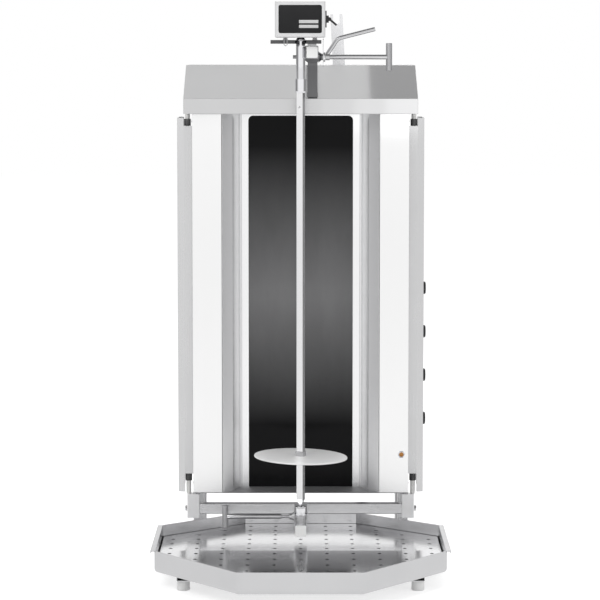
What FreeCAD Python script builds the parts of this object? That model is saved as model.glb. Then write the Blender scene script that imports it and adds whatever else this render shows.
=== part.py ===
# Upright electric grill that roasts meat on a turning spit. All lengths are in millimetres.
# +X points to the right of someone who stands in front of it, +Y to its back and +Z up.
# The origin is on the floor, in the middle of the room that the whole grill takes up.
import FreeCAD, Part
import math
import os

# Floor frame
FOOT_DIAMETER = 24.0
FOOT_HEIGHT = 18.0
FOOT_OUTSET = 7.0
FOOT_FRONT_Y = -162.0
FOOT_REAR_Y = 300.0
FOOT_TAPER = 1.0
FOOT_EDGE = 1.0
FRAME_OVERHANG = 2.0
RAIL_OUTSET = 1.0
RAIL_WIDTH = 36.0
RAIL_HEIGHT = 10.0
TUBE = 20.0
TUBE_WALL = 1.5
TUBE_CORNER = 2.0
UPRIGHT_FRONT_Y = 167.0

# Housing of folded sheet
SHEET = 1.5
HOUSING_WIDTH = 406.0
HOUSING_FRONT_Y = 87.0
HOUSING_BACK_Y = 326.0
HOUSING_LIFT = 101.0
HOUSING_HEIGHT = 717.0
LOUVRE_STAND = 4.0
LOUVRE_LENGTH = 110.0
LOUVRE_HEIGHT = 12.0
LOUVRE_PITCH = 34.0
LOUVRE_ROWS = 7

# Recess with the radiant heaters behind a glass
RECESS_WIDTH = 293.0
RECESS_DEPTH = 61.0
BEND_X = 128.0
BEND_DEPTH = 18.0
BACK_STRIP_X = 115.0
BACK_STRIP_EDGE = 112.0
WINDOW_WIDTH = 198.0
WINDOW_TOP_BAR = 4.5
WINDOW_CORNER = 9.0
GLASS_THICKNESS = 4.0
HEATER_ZONES = 4
HEATER_WIDTH = 180.0
HEATER_DEPTH = 22.0
HEATER_AIR_GAP = 5.0
HEATER_SPACE = 6.0
HEATER_GROOVES = 6
INSULATION = 25.0

# Hood
HOOD_OVERHANG = 14.0
HOOD_FRONT_Y = 47.0
HOOD_FASCIA = 28.0
HOOD_HEIGHT = 89.0
HOOD_SLOPE_END_Y = 165.0
HOOD_RETURN = 26.0

# Drip tray and its perforated plate
TRAY_WIDTH = 525.0
TRAY_LIP = 7.5
TRAY_HEM = 4.0
TRAY_FRONT_Y = -330.0
TRAY_SIDE_FRONT_Y = -150.0
TRAY_SIDE_BACK_Y = 87.0
TRAY_BACK_Y = 212.0
TRAY_FRONT_WIDTH = 222.0
TRAY_BACK_WIDTH = 216.0
TRAY_HEIGHT = 40.0
TRAY_EDGE_RADIUS = 9.0
PLATE_LIFT = 17.0
PLATE_GAP = 2.5
PLATE_CREASE_Y = -43.0
PLATE_CREASE_DROP = 12.0
STUD_DIAMETER = 9.0
HOLE_DIAMETER = 6.0
HOLE_SIDES = 8
HOLE_PITCH_X = 48.0
HOLE_PITCH_Y = 41.5
HOLE_FIRST_Y = 183.0
HOLE_EDGE = 7.0

# Spit and disc
SPIT_Y = -63.0
SPIT_SIDE = 12.0
SPIT_REST_TURN = -20.0
SPIT_POINT = 15.0
SPIT_TIP = 0.8
SPIT_HOLE = 4.0
SPIT_HOLE_DROP = 36.0
DISC_DIAMETER = 170.0
DISC_THICKNESS = 3.0
DISC_LIFT = 94.0
DISC_TILT = 1.6
DISC_PIN_DIAMETER = 4.0
DISC_PIN_LENGTH = 24.0
DISC_CLEARANCE = 0.5

# Sliding arms, their sockets and clamp screws
ARM_FRONT_Y = -77.0
ARM_CLEARANCE = 0.15
SOCKET_WALL = 2.0
CLAMP_FROM_FASCIA = 15.0
SOCKET_LENGTH = 36.0
UPPER_ARM_X = 20.5
UPPER_ARM_RISE = 24.5
UPPER_ARM_BACK_Y = 190.0
LOWER_ARM_RISE = 61.5
LOWER_ARM_BACK_Y = 112.0
POST_X = 22.0
POST_WIDTH = 18.0
POST_CAP = 7.0
POST_CAP_EDGE = 3.0
SCREW_DIAMETER = 6.6
SCREW_TIP_GAP = 0.3
UPPER_SCREW_DROP = 8.5
STOP_REACH = 35.0
BOSS_DIAMETER = 22.0
BOSS_END_DIAMETER = 12.0
BOSS_LENGTH = 8.5
NUT_DIAMETER = 18.0
NUT_END_DIAMETER = 11.0
NUT_LENGTH = 9.0
THREAD_LENGTH = 16.0
LOCK_PLATE = 1.0
LOCK_PLATE_WIDTH = 20.0
LOCK_PLATE_BELOW = 18.0
LOCK_PLATE_ABOVE = 34.0
WASHER_DIAMETER = 18.6
WASHER = 3.0
HUB_DIAMETER = 12.4
HUB_LENGTH = 8.0
ROD_DIAMETER = 9.2
BAR_DIAMETER = 11.5
UPPER_BAR_LENGTH = 51.0
LOWER_BAR_LENGTH = 42.0
UPPER_BAR_X = 163.5
LOWER_BAR_X = 142.0
LEVER_DIAMETER = 8.0
LEVER_RISE = 51.4
LEVER_REACH = 88.0
LEVER_BEND_REACH = 19.3
LEVER_BEND_RADIUS = 15.0

# Lower pivot
PILLAR_DIAMETER = 16.6
PILLAR_HEIGHT = 16.5
CUP_FLANGE_DIAMETER = 23.0
CUP_DIAMETER = 17.4
CUP_HEIGHT = 16.0
SEAT_GAP = 0.3

# Drive above the spit
DRIVE_DIAMETER = 16.4
DRIVE_BORE = 10.2
DRIVE_TOP_RISE = 48.0
DRIVE_LENGTH = 79.2
DRIVE_PLUG = 20.0
OUTPUT_DIAMETER = 10.0
RUNNING_FIT = 0.09
SLEEVE_DIAMETER = 20.4
SLEEVE_HEIGHT = 25.0
SLEEVE_BELOW_DRIVE = 17.2
SLEEVE_GRIP = 5.0
SPIT_ENTRY = 10.1
SOCKET_PLAY = 0.2
MOTOR_PLATE_RISE = 5.5
MOTOR_PLATE = 6.5
MOTOR_STANDOFF = 4.5
MOTOR_WIDTH = 90.0
MOTOR_DEPTH = 90.0
MOTOR_HEIGHT = 61.0
MOTOR_LID = 3.0
MOTOR_WALL = 3.0
MOTOR_OFFSET_X = -1.0
MOTOR_CORNER = 7.0
MOTOR_BOLT_X = 26.5
SPACER_LENGTH = 46.0
GEARBOX_HEIGHT = 26.0
MOTOR_DIAMETER = 34.0
SWITCH_RISE = 33.0
SWITCH_WIDTH = 16.0
SWITCH_HEIGHT = 30.0
SWITCH_BEZEL = 2.5
SWITCH_BOSS_DIAMETER = 13.0
SWITCH_BOSS = 4.0
SWITCH_PIVOT_DIAMETER = 6.8
SWITCH_PIVOT_LENGTH = 4.0
SWITCH_LEVER_DIAMETER = 3.8
SWITCH_LEVER_LENGTH = 17.0
SWITCH_LEVER_DROP = 40.0

# Controls
KNOB_COUNT = 4
KNOB_Y = 262.0
KNOB_RISE = 117.0
KNOB_PITCH = 85.3
KNOB_LENGTH = 38.5
KNOB_GRIP_DIAMETER = 24.4
KNOB_SKIRT_DIAMETER = 40.0
KNOB_GAP = 0.5
KNOB_GROOVE = 1.2
BEZEL_DIAMETER = 50.0
REGULATOR_DEPTH = 40.0
REGULATOR_WIDTH = 34.0
REGULATOR_HEIGHT = 40.0
SPINDLE_DIAMETER = 6.0
SPINDLE_REACH = 16.0
LAMP_INSET = 13.0
LAMP_RISE = 74.0
LAMP_DIAMETER = 13.0

# Folding side wings
WING_FRONT_Y = 141.0
WING_GAP = 2.5
WING_WIDTH = 28.0
WING_DEPTH = 89.0
WING_BEND_BACK = 3.0
WING_HEM = 9.0
WING_BELOW = 7.0
WING_TOP_GAP = 10.0
WING_LOW_NOTCH = 35.0
WING_HIGH_NOTCH = 15.5
PIN_DIAMETER = 5.0
PIN_INSET = 3.0
KNUCKLE_DIAMETER = 9.0
KNUCKLE_LENGTH = 20.0
BUSH_DIAMETER = 9.0
BUSH_HEAD_DIAMETER = 12.6
BUSH_HEAD = 13.0
BUSH_GAP = 0.8
HINGE_POST_WIDTH = 24.0
HINGE_POST_OUTSET = 3.0
HINGE_POST_FOOT = 44.0
HINGE_POST_GAP = 4.0
BOLT_HEAD_RADIUS = 5.8
BOLT_HEAD = 4.2
BOLT_SHANK = 6.0

# Rear fork, gland and small fasteners
FORK_X = 73.5
FORK_Y = 237.0
FORK_WIDTH = 23.0
FORK_HEIGHT = 97.0
FORK_LEAN = 5.0
FORK_NOTCH = 12.6
FORK_NOTCH_DEPTH = 19.0
FORK_THICKNESS = 3.0
FORK_BASE = 22.0
GLAND_X = 120.0
GLAND_Y = 285.0
GLAND_BORE = 9.0
GLAND_DIAMETER = 16.0
GLAND_NUT = 22.0
GLAND_REACH = 18.0
GLAND_COLLAR = 8.0
GLAND_INSIDE = 5.0
TERMINAL_BACK = 60.0
TERMINAL_WIDTH = 60.0
TERMINAL_DEPTH = 22.0
TERMINAL_HEIGHT = 18.0

# Heights and faces that follow from the sizes above
rail_top = FOOT_HEIGHT + RAIL_HEIGHT
housing_z = rail_top + HOUSING_LIFT
housing_top = housing_z + HOUSING_HEIGHT
floor_top = housing_z + SHEET
ceiling_bottom = housing_top - SHEET
side_x = HOUSING_WIDTH / 2
foot_x = side_x + FOOT_OUTSET
rail_x = side_x + RAIL_OUTSET
hood_x = side_x + HOOD_OVERHANG
lamp_x = side_x - LAMP_INSET
wing_x = side_x + WING_GAP
pin_x = hood_x - PIN_INSET
window_y = HOUSING_FRONT_Y + RECESS_DEPTH
glass_y = window_y + SHEET
heater_y = glass_y + GLASS_THICKNESS + HEATER_AIR_GAP
hood_top = housing_top + HOOD_HEIGHT
clamp_y = HOOD_FRONT_Y + CLAMP_FROM_FASCIA
socket_side = TUBE + 2 * (ARM_CLEARANCE + SOCKET_WALL)
upper_arm_z = hood_top + UPPER_ARM_RISE
lower_arm_z = rail_top + LOWER_ARM_RISE
upper_screw_z = upper_arm_z - UPPER_SCREW_DROP
cross_tube_y = UPRIGHT_FRONT_Y - TUBE
pin_y = WING_FRONT_Y + SHEET + KNUCKLE_DIAMETER / 2
pillar_top = lower_arm_z + TUBE / 2 + PILLAR_HEIGHT
cup_top = pillar_top + CUP_HEIGHT
motor_plate_z = upper_arm_z + TUBE / 2 + MOTOR_PLATE_RISE
motor_z = motor_plate_z + MOTOR_PLATE + MOTOR_STANDOFF
drive_top = hood_top + DRIVE_TOP_RISE
drive_z = drive_top - DRIVE_LENGTH
sleeve_z = drive_z - SLEEVE_BELOW_DRIVE
spit_tip_z = cup_top - SEAT_GAP - 1.0
spit_top_z = sleeve_z + SPIT_ENTRY
disc_z = floor_top + DISC_LIFT
wing_z = housing_z - WING_BELOW
wing_top = housing_top - WING_TOP_GAP

X_AXIS = FreeCAD.Vector(1, 0, 0)
Y_AXIS = FreeCAD.Vector(0, 1, 0)
Z_AXIS = FreeCAD.Vector(0, 0, 1)


def at(x, y, z):
    return FreeCAD.Vector(x, y, z)


def block(x0, x1, y0, y1, z0, z1):
    """A block between two opposite corners."""
    return Part.makeBox(x1 - x0, y1 - y0, z1 - z0, at(x0, y0, z0))


def rod(diameter, start, end):
    """A round rod from one point to another."""
    way = end - start
    return Part.makeCylinder(diameter / 2, way.Length, start, way)


def prism(corners, way):
    """A flat outline, pushed along a vector."""
    return Part.Face(Part.makePolygon(corners + corners[:1])).extrude(way)


def turned(outline, base, way):
    """A closed outline of (radius, height) points, turned about the line from base along way."""
    section = Part.Face(Part.makePolygon([at(r, 0, h) for r, h in outline + outline[:1]]))
    solid = section.revolve(at(0, 0, 0), Z_AXIS, 360)
    solid.Placement = FreeCAD.Placement(base, FreeCAD.Rotation(Z_AXIS, way))
    return solid


def joined(solids):
    """Several touching solids as one, with the seams between flush faces taken away."""
    return solids[0].fuse(solids[1:]).removeSplitter()


def mirrored(solid):
    """The same piece for the other side of the grill."""
    return solid.mirror(at(0, 0, 0), X_AXIS)


def edges_along(solid, way):
    """The straight edges that run along a direction."""
    found = []
    for edge in solid.Edges:
        if isinstance(edge.Curve, Part.Line) and abs(edge.tangentAt(edge.FirstParameter).dot(way)) > 0.999:
            found.append(edge)
    return found


def rounded_block(x0, x1, y0, y1, z0, z1, radius, way):
    """A block whose four edges along one direction are rounded."""
    solid = block(x0, x1, y0, y1, z0, z1)
    return solid.makeFillet(radius, edges_along(solid, way))


def square_tube(x, y, z, half, length_way, start, end, wall=TUBE_WALL):
    """A square tube along an axis, centred on the other two coordinates, with rounded corners outside."""
    low = [x - half, y - half, z - half]
    high = [x + half, y + half, z + half]
    along = [X_AXIS, Y_AXIS, Z_AXIS].index(length_way)
    low[along] = start
    high[along] = end
    corner = min(TUBE_CORNER, half / 2)
    outer = rounded_block(low[0], high[0], low[1], high[1], low[2], high[2], corner, length_way)
    grown = [wall if i != along else -1.0 for i in range(3)]
    inner = block(
        low[0] + grown[0], high[0] - grown[0],
        low[1] + grown[1], high[1] - grown[1],
        low[2] + grown[2], high[2] - grown[2],
    )
    return outer.cut(inner)


def folded(corners, thickness):
    """The closed outline of a folded sheet: its drawn side, then its other side with mitred bends.

    The second side lies to the left of the way in which the corners are listed.
    """
    normals = []
    for (ax, ay), (bx, by) in zip(corners, corners[1:]):
        length = math.hypot(bx - ax, by - ay)
        normals.append((-(by - ay) / length, (bx - ax) / length))
    other = []
    for i, (px, py) in enumerate(corners):
        before = normals[max(i - 1, 0)]
        after = normals[min(i, len(normals) - 1)]
        mx, my = before[0] + after[0], before[1] + after[1]
        scale = thickness * 2 / (mx * mx + my * my)
        other.append((px + mx * scale, py + my * scale))
    return corners + other[::-1]


def upright_sheet(corners, z0, z1, thickness=SHEET):
    """A sheet that is folded along upright lines, from the (x, y) corners seen from above."""
    return prism([at(x, y, z0) for x, y in folded(corners, thickness)], at(0, 0, z1 - z0))


def save(name, solids):
    """Write one node, as a solid or as a group of alike solids."""
    solids = solids if isinstance(solids, list) else [solids]
    pieces = [solid for shape in solids for solid in shape.Solids]
    shape = pieces[0] if len(pieces) == 1 else Part.makeCompound(pieces)
    shape.exportStep(f"parts/{name}.step")
    print(name, len(pieces), "solids", "valid" if shape.isValid() else "NOT VALID", round(shape.Volume))


def floor_frame():
    """Rails, feet, uprights and the cross tube that carry the housing and the tray."""
    half = TUBE / 2
    rail_start = FOOT_FRONT_Y - FOOT_DIAMETER / 2 - FRAME_OVERHANG
    rail_end = FOOT_REAR_Y + FOOT_DIAMETER / 2 + FRAME_OVERHANG
    inner_x = rail_x - RAIL_WIDTH / 2
    upright_x = inner_x + half
    rails, feet, uprights = [], [], []
    for side in (-1, 1):
        x0, x1 = side * rail_x - RAIL_WIDTH / 2, side * rail_x + RAIL_WIDTH / 2
        rail = rounded_block(x0, x1, rail_start, rail_end, FOOT_HEIGHT, rail_top, TUBE_CORNER, Y_AXIS)
        hollow = block(
            x0 + TUBE_WALL, x1 - TUBE_WALL, rail_start - 1, rail_end + 1,
            FOOT_HEIGHT + TUBE_WALL, rail_top - TUBE_WALL,
        )
        rails.append(rail.cut(hollow))
        for y in (FOOT_FRONT_Y, FOOT_REAR_Y):
            r = FOOT_DIAMETER / 2
            outline = [
                (0, 0), (r - FOOT_EDGE, 0), (r, FOOT_EDGE), (r - FOOT_TAPER, FOOT_HEIGHT), (0, FOOT_HEIGHT),
            ]
            feet.append(turned(outline, at(side * foot_x, y, 0), Z_AXIS))
        for y in (UPRIGHT_FRONT_Y, FOOT_REAR_Y):
            uprights.append(square_tube(side * upright_x, y, 0, half, Z_AXIS, rail_top, housing_z))
    save("levelling_feet", feet)
    save("uprights", uprights)
    tie = block(-inner_x, inner_x, FOOT_REAR_Y - half, FOOT_REAR_Y + half, FOOT_HEIGHT, rail_top)
    hollow = block(
        -inner_x - 1, inner_x + 1,
        FOOT_REAR_Y - half + TUBE_WALL, FOOT_REAR_Y + half - TUBE_WALL,
        FOOT_HEIGHT + TUBE_WALL, rail_top - TUBE_WALL,
    )
    save("floor_rails", rails + [tie.cut(hollow)])
    post_inner = pin_x + HINGE_POST_OUTSET - HINGE_POST_WIDTH
    save("cross_tube", square_tube(0, cross_tube_y, lower_arm_z, half, X_AXIS, -post_inner, post_inner))
    return post_inner


def hinge_posts(post_inner):
    """Short posts beside the cross tube, with the lower hinge bushes on top and a bolt on the outside."""
    y0, y1 = cross_tube_y - TUBE / 2, cross_tube_y + TUBE / 2
    foot = rail_top + HINGE_POST_FOOT
    top = wing_z - HINGE_POST_GAP
    x1 = post_inner + HINGE_POST_WIDTH
    post = rounded_block(post_inner, x1, y0, y1, foot, top, TUBE_CORNER, Z_AXIS)
    hollow = block(
        post_inner + TUBE_WALL, x1 - TUBE_WALL, y0 + TUBE_WALL, y1 - TUBE_WALL, foot - 1, top - TUBE_WALL
    )
    pin_hole = rod(PIN_DIAMETER, at(pin_x, pin_y, top - 2 * TUBE_WALL), at(pin_x, pin_y, top + 1))
    post = post.cut([hollow, pin_hole])
    bolt_z = lower_arm_z
    seat = at(x1, cross_tube_y, bolt_z)
    shank = rod(SCREW_DIAMETER, seat - at(TUBE_WALL + BOLT_SHANK, 0, 0), seat)
    corners = []
    for i in range(6):
        turn = math.radians(60 * i)
        corners.append(seat + at(0, BOLT_HEAD_RADIUS * math.cos(turn), BOLT_HEAD_RADIUS * math.sin(turn)))
    bolt = joined([shank, prism(corners, at(BOLT_HEAD, 0, 0))])
    post = post.cut(rod(SCREW_DIAMETER, seat - at(2 * TUBE_WALL, 0, 0), seat + at(1, 0, 0)))
    save("hinge_posts", [post, mirrored(post)])
    save("post_bolts", [bolt, mirrored(bolt)])
    return top


def wings(post_top):
    """Folding splash guards at the sides, with knuckles that turn on fixed pins in white bushes."""
    outer_x = wing_x + WING_WIDTH
    notch_x = pin_x + BUSH_HEAD_DIAMETER / 2 + BUSH_GAP
    outline = [
        (wing_x, WING_FRONT_Y),
        (notch_x, WING_FRONT_Y),
        (outer_x, WING_FRONT_Y + WING_BEND_BACK),
        (outer_x, WING_FRONT_Y + WING_DEPTH),
        (outer_x - WING_HEM, WING_FRONT_Y + WING_DEPTH),
    ]
    sheet = upright_sheet(outline, wing_z, wing_top)
    low_end, high_end = wing_z + WING_LOW_NOTCH, wing_top - WING_HIGH_NOTCH
    notch_y0, notch_y1 = WING_FRONT_Y - 1, WING_FRONT_Y + SHEET + 1
    low_notch = block(wing_x - 1, notch_x, notch_y0, notch_y1, wing_z - 1, low_end)
    high_notch = block(wing_x - 1, notch_x, notch_y0, notch_y1, high_end, wing_top + 1)
    sheet = sheet.cut([low_notch, high_notch])
    bore = PIN_DIAMETER / 2 + RUNNING_FIT
    knuckles = []
    for start in (low_end, high_end - KNUCKLE_LENGTH):
        r = KNUCKLE_DIAMETER / 2
        ring = [(bore, 0), (r, 0), (r, KNUCKLE_LENGTH), (bore, KNUCKLE_LENGTH)]
        knuckle = turned(ring, at(pin_x, pin_y, start), Z_AXIS)
        w = r * 0.6
        end = start + KNUCKLE_LENGTH
        weld = block(pin_x - w, pin_x + w, WING_FRONT_Y + SHEET, pin_y - r * 0.7, start, end)
        knuckles.append(joined([knuckle, weld]))
    wing = joined([sheet] + knuckles)
    save("wing_right", wing)
    save("wing_left", mirrored(wing))
    bushes, pins = [], []
    bore, neck, head = PIN_DIAMETER / 2, BUSH_DIAMETER / 2, BUSH_HEAD_DIAMETER / 2
    for side in (-1, 1):
        for base, knuckle_end in ((post_top, low_end), (housing_top, high_end)):
            upward = 1 if knuckle_end > base else -1
            way = at(0, 0, upward)
            length = abs(knuckle_end - base) - 0.5
            neck_end = length - BUSH_HEAD
            ring = [(bore, 0), (neck, 0), (neck, neck_end), (head, neck_end), (head, length), (bore, length)]
            foot = at(side * pin_x, pin_y, base)
            bushes.append(turned(ring, foot, way))
            pin_end = foot + way * (length + KNUCKLE_LENGTH + 2.5)
            pins.append(rod(PIN_DIAMETER, foot - way * TUBE_WALL, pin_end))
    save("hinge_bushes", bushes)
    save("hinge_pins", pins)


def housing():
    """Floor, sides, back, ceiling and front panels of folded sheet."""
    floor = block(-side_x, side_x, HOUSING_FRONT_Y, HOUSING_BACK_Y, housing_z, floor_top)
    ceiling = block(-side_x, side_x, HOUSING_FRONT_Y, HOUSING_BACK_Y, ceiling_bottom, housing_top)
    gland_hole = rod(GLAND_DIAMETER, at(GLAND_X, GLAND_Y, housing_z - 1), at(GLAND_X, GLAND_Y, floor_top + 1))
    save("housing_floor", floor.cut(gland_hole))
    save("housing_ceiling", ceiling)
    y0, y1 = HOUSING_FRONT_Y + SHEET, HOUSING_BACK_Y - SHEET
    side = block(side_x - SHEET, side_x, y0, y1, floor_top, ceiling_bottom)
    x0, x1 = side_x - 2 * SHEET, side_x + 1
    spindle_holes = []
    for i in range(KNOB_COUNT):
        spindle_holes.append(rod(SPINDLE_DIAMETER + 4, at(x0, KNOB_Y, knob_z(i)), at(x1, KNOB_Y, knob_z(i))))
    save("side_panel_right", side.cut(spindle_holes))
    save("side_panel_left", mirrored(side))
    save("back_panel", back_panel())
    panel_edge = RECESS_WIDTH / 2 + 1.7
    front = block(panel_edge, side_x, HOUSING_FRONT_Y, HOUSING_FRONT_Y + SHEET, floor_top, ceiling_bottom)
    lamp_hole = rod(
        LAMP_DIAMETER - 4,
        at(lamp_x, HOUSING_FRONT_Y - 1, housing_z + LAMP_RISE),
        at(lamp_x, HOUSING_FRONT_Y + SHEET + 1, housing_z + LAMP_RISE),
    )
    save("front_panel_right", front.cut(lamp_hole))
    save("front_panel_left", mirrored(front))
    strip = upright_sheet(
        [
            (BACK_STRIP_EDGE, window_y),
            (BACK_STRIP_X, window_y),
            (BEND_X, HOUSING_FRONT_Y + BEND_DEPTH),
            (RECESS_WIDTH / 2, HOUSING_FRONT_Y),
        ],
        floor_top,
        ceiling_bottom,
    )
    save("reflector_right", strip)
    save("reflector_left", mirrored(strip))


def back_panel():
    """The rear sheet, with two columns of pressed louvres that open downwards."""
    panel = block(-side_x, side_x, HOUSING_BACK_Y - SHEET, HOUSING_BACK_Y, floor_top, ceiling_bottom)
    middle_z = (floor_top + ceiling_bottom) / 2
    slots, hoods = [], []
    for side in (-1, 1):
        x0 = side * side_x / 2 - LOUVRE_LENGTH / 2
        for row in range(LOUVRE_ROWS):
            z0 = middle_z + (row - (LOUVRE_ROWS - 1) / 2) * LOUVRE_PITCH
            y0, y1 = HOUSING_BACK_Y - 2 * SHEET, HOUSING_BACK_Y + 1
            slots.append(block(x0, x0 + LOUVRE_LENGTH, y0, y1, z0, z0 + LOUVRE_HEIGHT / 2))
            outer = HOUSING_BACK_Y + LOUVRE_STAND
            section = [
                at(x0, HOUSING_BACK_Y, z0 + LOUVRE_HEIGHT),
                at(x0, outer, z0),
                at(x0, outer - SHEET, z0),
                at(x0, HOUSING_BACK_Y, z0 + LOUVRE_HEIGHT * (LOUVRE_STAND - SHEET) / LOUVRE_STAND),
            ]
            hoods.append(prism(section, at(LOUVRE_LENGTH, 0, 0)))
    return joined([panel.cut(slots)] + hoods)


def window():
    """The frame with rounded upper corners, the glass, the heaters and the insulation behind it."""
    edge = BACK_STRIP_EDGE - 0.2
    opening_x = WINDOW_WIDTH / 2
    frame = block(-edge, edge, window_y, glass_y, floor_top, ceiling_bottom)
    top = ceiling_bottom - WINDOW_TOP_BAR
    opening = block(-opening_x, opening_x, window_y - 1, glass_y + 1, floor_top - WINDOW_CORNER * 2, top)
    upper = [e for e in edges_along(opening, Y_AXIS) if e.Vertexes[0].Z > top - 1]
    opening = opening.makeFillet(WINDOW_CORNER, upper)
    save("window_frame", frame.cut(opening))
    glass_x = BACK_STRIP_X - 3.0
    glass = block(-glass_x, glass_x, glass_y, glass_y + GLASS_THICKNESS, floor_top, ceiling_bottom - 2.0)
    save("ceramic_glass", glass)
    half = HEATER_WIDTH / 2
    back_y = heater_y + HEATER_DEPTH
    low = floor_top + 10.0
    zone = (ceiling_bottom - 10.0 - low) / HEATER_ZONES
    tiles = []
    for i in range(HEATER_ZONES):
        z0, z1 = low + zone * i, low + zone * (i + 1) - HEATER_SPACE
        tile = block(-half, half, heater_y, back_y, z0, z1)
        pitch = (z1 - z0) / HEATER_GROOVES
        grooves = [
            block(
                -half + 8, half - 8,
                heater_y - 1, heater_y + HEATER_DEPTH / 3,
                z0 + pitch * (k + 0.3), z0 + pitch * (k + 0.7),
            )
            for k in range(HEATER_GROOVES)
        ]
        tiles.append(tile.cut(grooves))
    save("heater_tiles", tiles)
    board = block(-half - 5, half + 5, back_y, back_y + INSULATION, floor_top, ceiling_bottom - 5.0)
    save("insulation_board", board)


def hood_section(inset):
    """Corners (y, z) of the hood seen from the side, drawn in by an inset."""
    slope = math.atan2(HOOD_HEIGHT - HOOD_FASCIA, HOOD_SLOPE_END_Y - HOOD_FRONT_Y)
    at_fascia = inset * math.tan(math.pi / 4 - slope / 2)
    at_top = inset * math.tan(slope / 2)
    return [
        (HOOD_FRONT_Y + inset, housing_top + inset),
        (HOOD_FRONT_Y + inset, housing_top + HOOD_FASCIA - at_fascia),
        (HOOD_SLOPE_END_Y + at_top, hood_top - inset),
        (HOUSING_BACK_Y + LOUVRE_STAND - inset, hood_top - inset),
        (HOUSING_BACK_Y + LOUVRE_STAND - inset, housing_top + inset),
    ]


def hood():
    """The folded hood, open below except for its return flanges, with a hole for the arm's post."""
    outer = prism([at(-hood_x, y, z) for y, z in hood_section(0)], at(2 * hood_x, 0, 0))
    room_x = hood_x - SHEET
    inner = prism([at(-room_x, y, z) for y, z in hood_section(SHEET)], at(2 * room_x, 0, 0))
    mouth = block(
        -side_x + HOOD_RETURN, side_x - HOOD_RETURN,
        HOUSING_FRONT_Y + HOOD_RETURN, HOUSING_BACK_Y - HOOD_RETURN,
        housing_top - 1, housing_top + SHEET + 1,
    )
    post_half = POST_WIDTH / 2 + 0.2
    post_hole = block(
        POST_X - post_half, POST_X + post_half,
        clamp_y - post_half, clamp_y + post_half,
        housing_top + HOOD_FASCIA / 2, hood_top,
    )
    z0, z1 = housing_top - 1, housing_top + SHEET + 1
    pin_holes = [rod(PIN_DIAMETER, at(x, pin_y, z0), at(x, pin_y, z1)) for x in (-pin_x, pin_x)]
    save("hood", outer.cut([inner, mouth, post_hole] + pin_holes))


def arm_supports():
    """The post with its collar above, and the socket below, in which the two arms slide."""
    half = socket_side / 2
    inner = TUBE / 2 + ARM_CLEARANCE
    collar_z = upper_arm_z - half
    post_top = collar_z - POST_CAP
    edge_z = collar_z - POST_CAP_EDGE
    y0, y1 = clamp_y - SOCKET_LENGTH / 2, clamp_y + SOCKET_LENGTH / 2
    narrow = POST_WIDTH / 2
    post = square_tube(POST_X, clamp_y, 0, narrow, Z_AXIS, housing_top + SHEET, post_top, SOCKET_WALL)
    x0, x1 = UPPER_ARM_X - half, UPPER_ARM_X + half
    saddle = [
        at(POST_X - narrow, y0, post_top), at(POST_X + narrow, y0, post_top), at(x1, y0, edge_z),
        at(x1, y0, collar_z), at(x0, y0, collar_z), at(x0, y0, edge_z),
    ]
    save("arm_post", joined([post, prism(saddle, at(0, SOCKET_LENGTH, 0))]))
    collar = square_tube(UPPER_ARM_X, 0, upper_arm_z, half, Y_AXIS, y0, y1, SOCKET_WALL)
    screw_hole = SCREW_DIAMETER + 2 * RUNNING_FIT
    hole_start = at(UPPER_ARM_X + inner - 1, clamp_y, upper_screw_z)
    boss_start = at(UPPER_ARM_X + half, clamp_y, upper_screw_z)
    wide, narrow = BOSS_DIAMETER / 2, BOSS_END_DIAMETER / 2
    outline = [(0, 0), (wide, 0), (narrow, BOSS_LENGTH * 0.7), (narrow, BOSS_LENGTH), (0, BOSS_LENGTH)]
    boss = turned(outline, boss_start, X_AXIS)
    x0, x1 = boss_start.x, boss_start.x + 2 * BOSS_LENGTH
    room = block(x0, x1, clamp_y - wide, clamp_y + wide, post_top, upper_arm_z + half)
    right_hole = rod(screw_hole, hole_start, boss_start + at(BOSS_LENGTH + 1, 0, 0))
    collar = joined([collar, boss.common(room)]).cut(right_hole)
    stop_start = at(UPPER_ARM_X - STOP_REACH, clamp_y, upper_screw_z)
    stop_end = at(UPPER_ARM_X - TUBE / 2 - SCREW_TIP_GAP, clamp_y, upper_screw_z)
    save("upper_collar", joined([collar, rod(SCREW_DIAMETER, stop_start, stop_end)]))
    y1 = cross_tube_y - TUBE / 2
    socket = square_tube(0, 0, lower_arm_z, half, Y_AXIS, y0, y1, SOCKET_WALL)
    nut_start = at(-half, clamp_y, lower_arm_z)
    wide, narrow = NUT_DIAMETER / 2, NUT_END_DIAMETER / 2
    outline = [(0, 0), (wide, 0), (narrow, NUT_LENGTH * 0.55), (narrow, NUT_LENGTH), (0, NUT_LENGTH)]
    nut = turned(outline, nut_start, at(-1, 0, 0))
    nut_hole = rod(screw_hole, at(-inner + 1, clamp_y, lower_arm_z), nut_start - at(NUT_LENGTH + 1, 0, 0))
    save("lower_socket", joined([socket, nut]).cut(nut_hole))
    return boss_start.x + BOSS_LENGTH, nut_start.x - NUT_LENGTH


def clamp_screw(tip_x, neck_x, bar_x, z, bar_length):
    """A screw with a smooth rod and a cross bar, lying along X at the clamp."""
    thread = rod(SCREW_DIAMETER, at(tip_x, clamp_y, z), at(neck_x, clamp_y, z))
    shaft = rod(ROD_DIAMETER, at(neck_x, clamp_y, z), at(bar_x, clamp_y, z))
    half = bar_length / 2
    bar = rod(BAR_DIAMETER, at(bar_x, clamp_y, z - half), at(bar_x, clamp_y, z + half))
    return joined([thread, shaft, bar])


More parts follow.
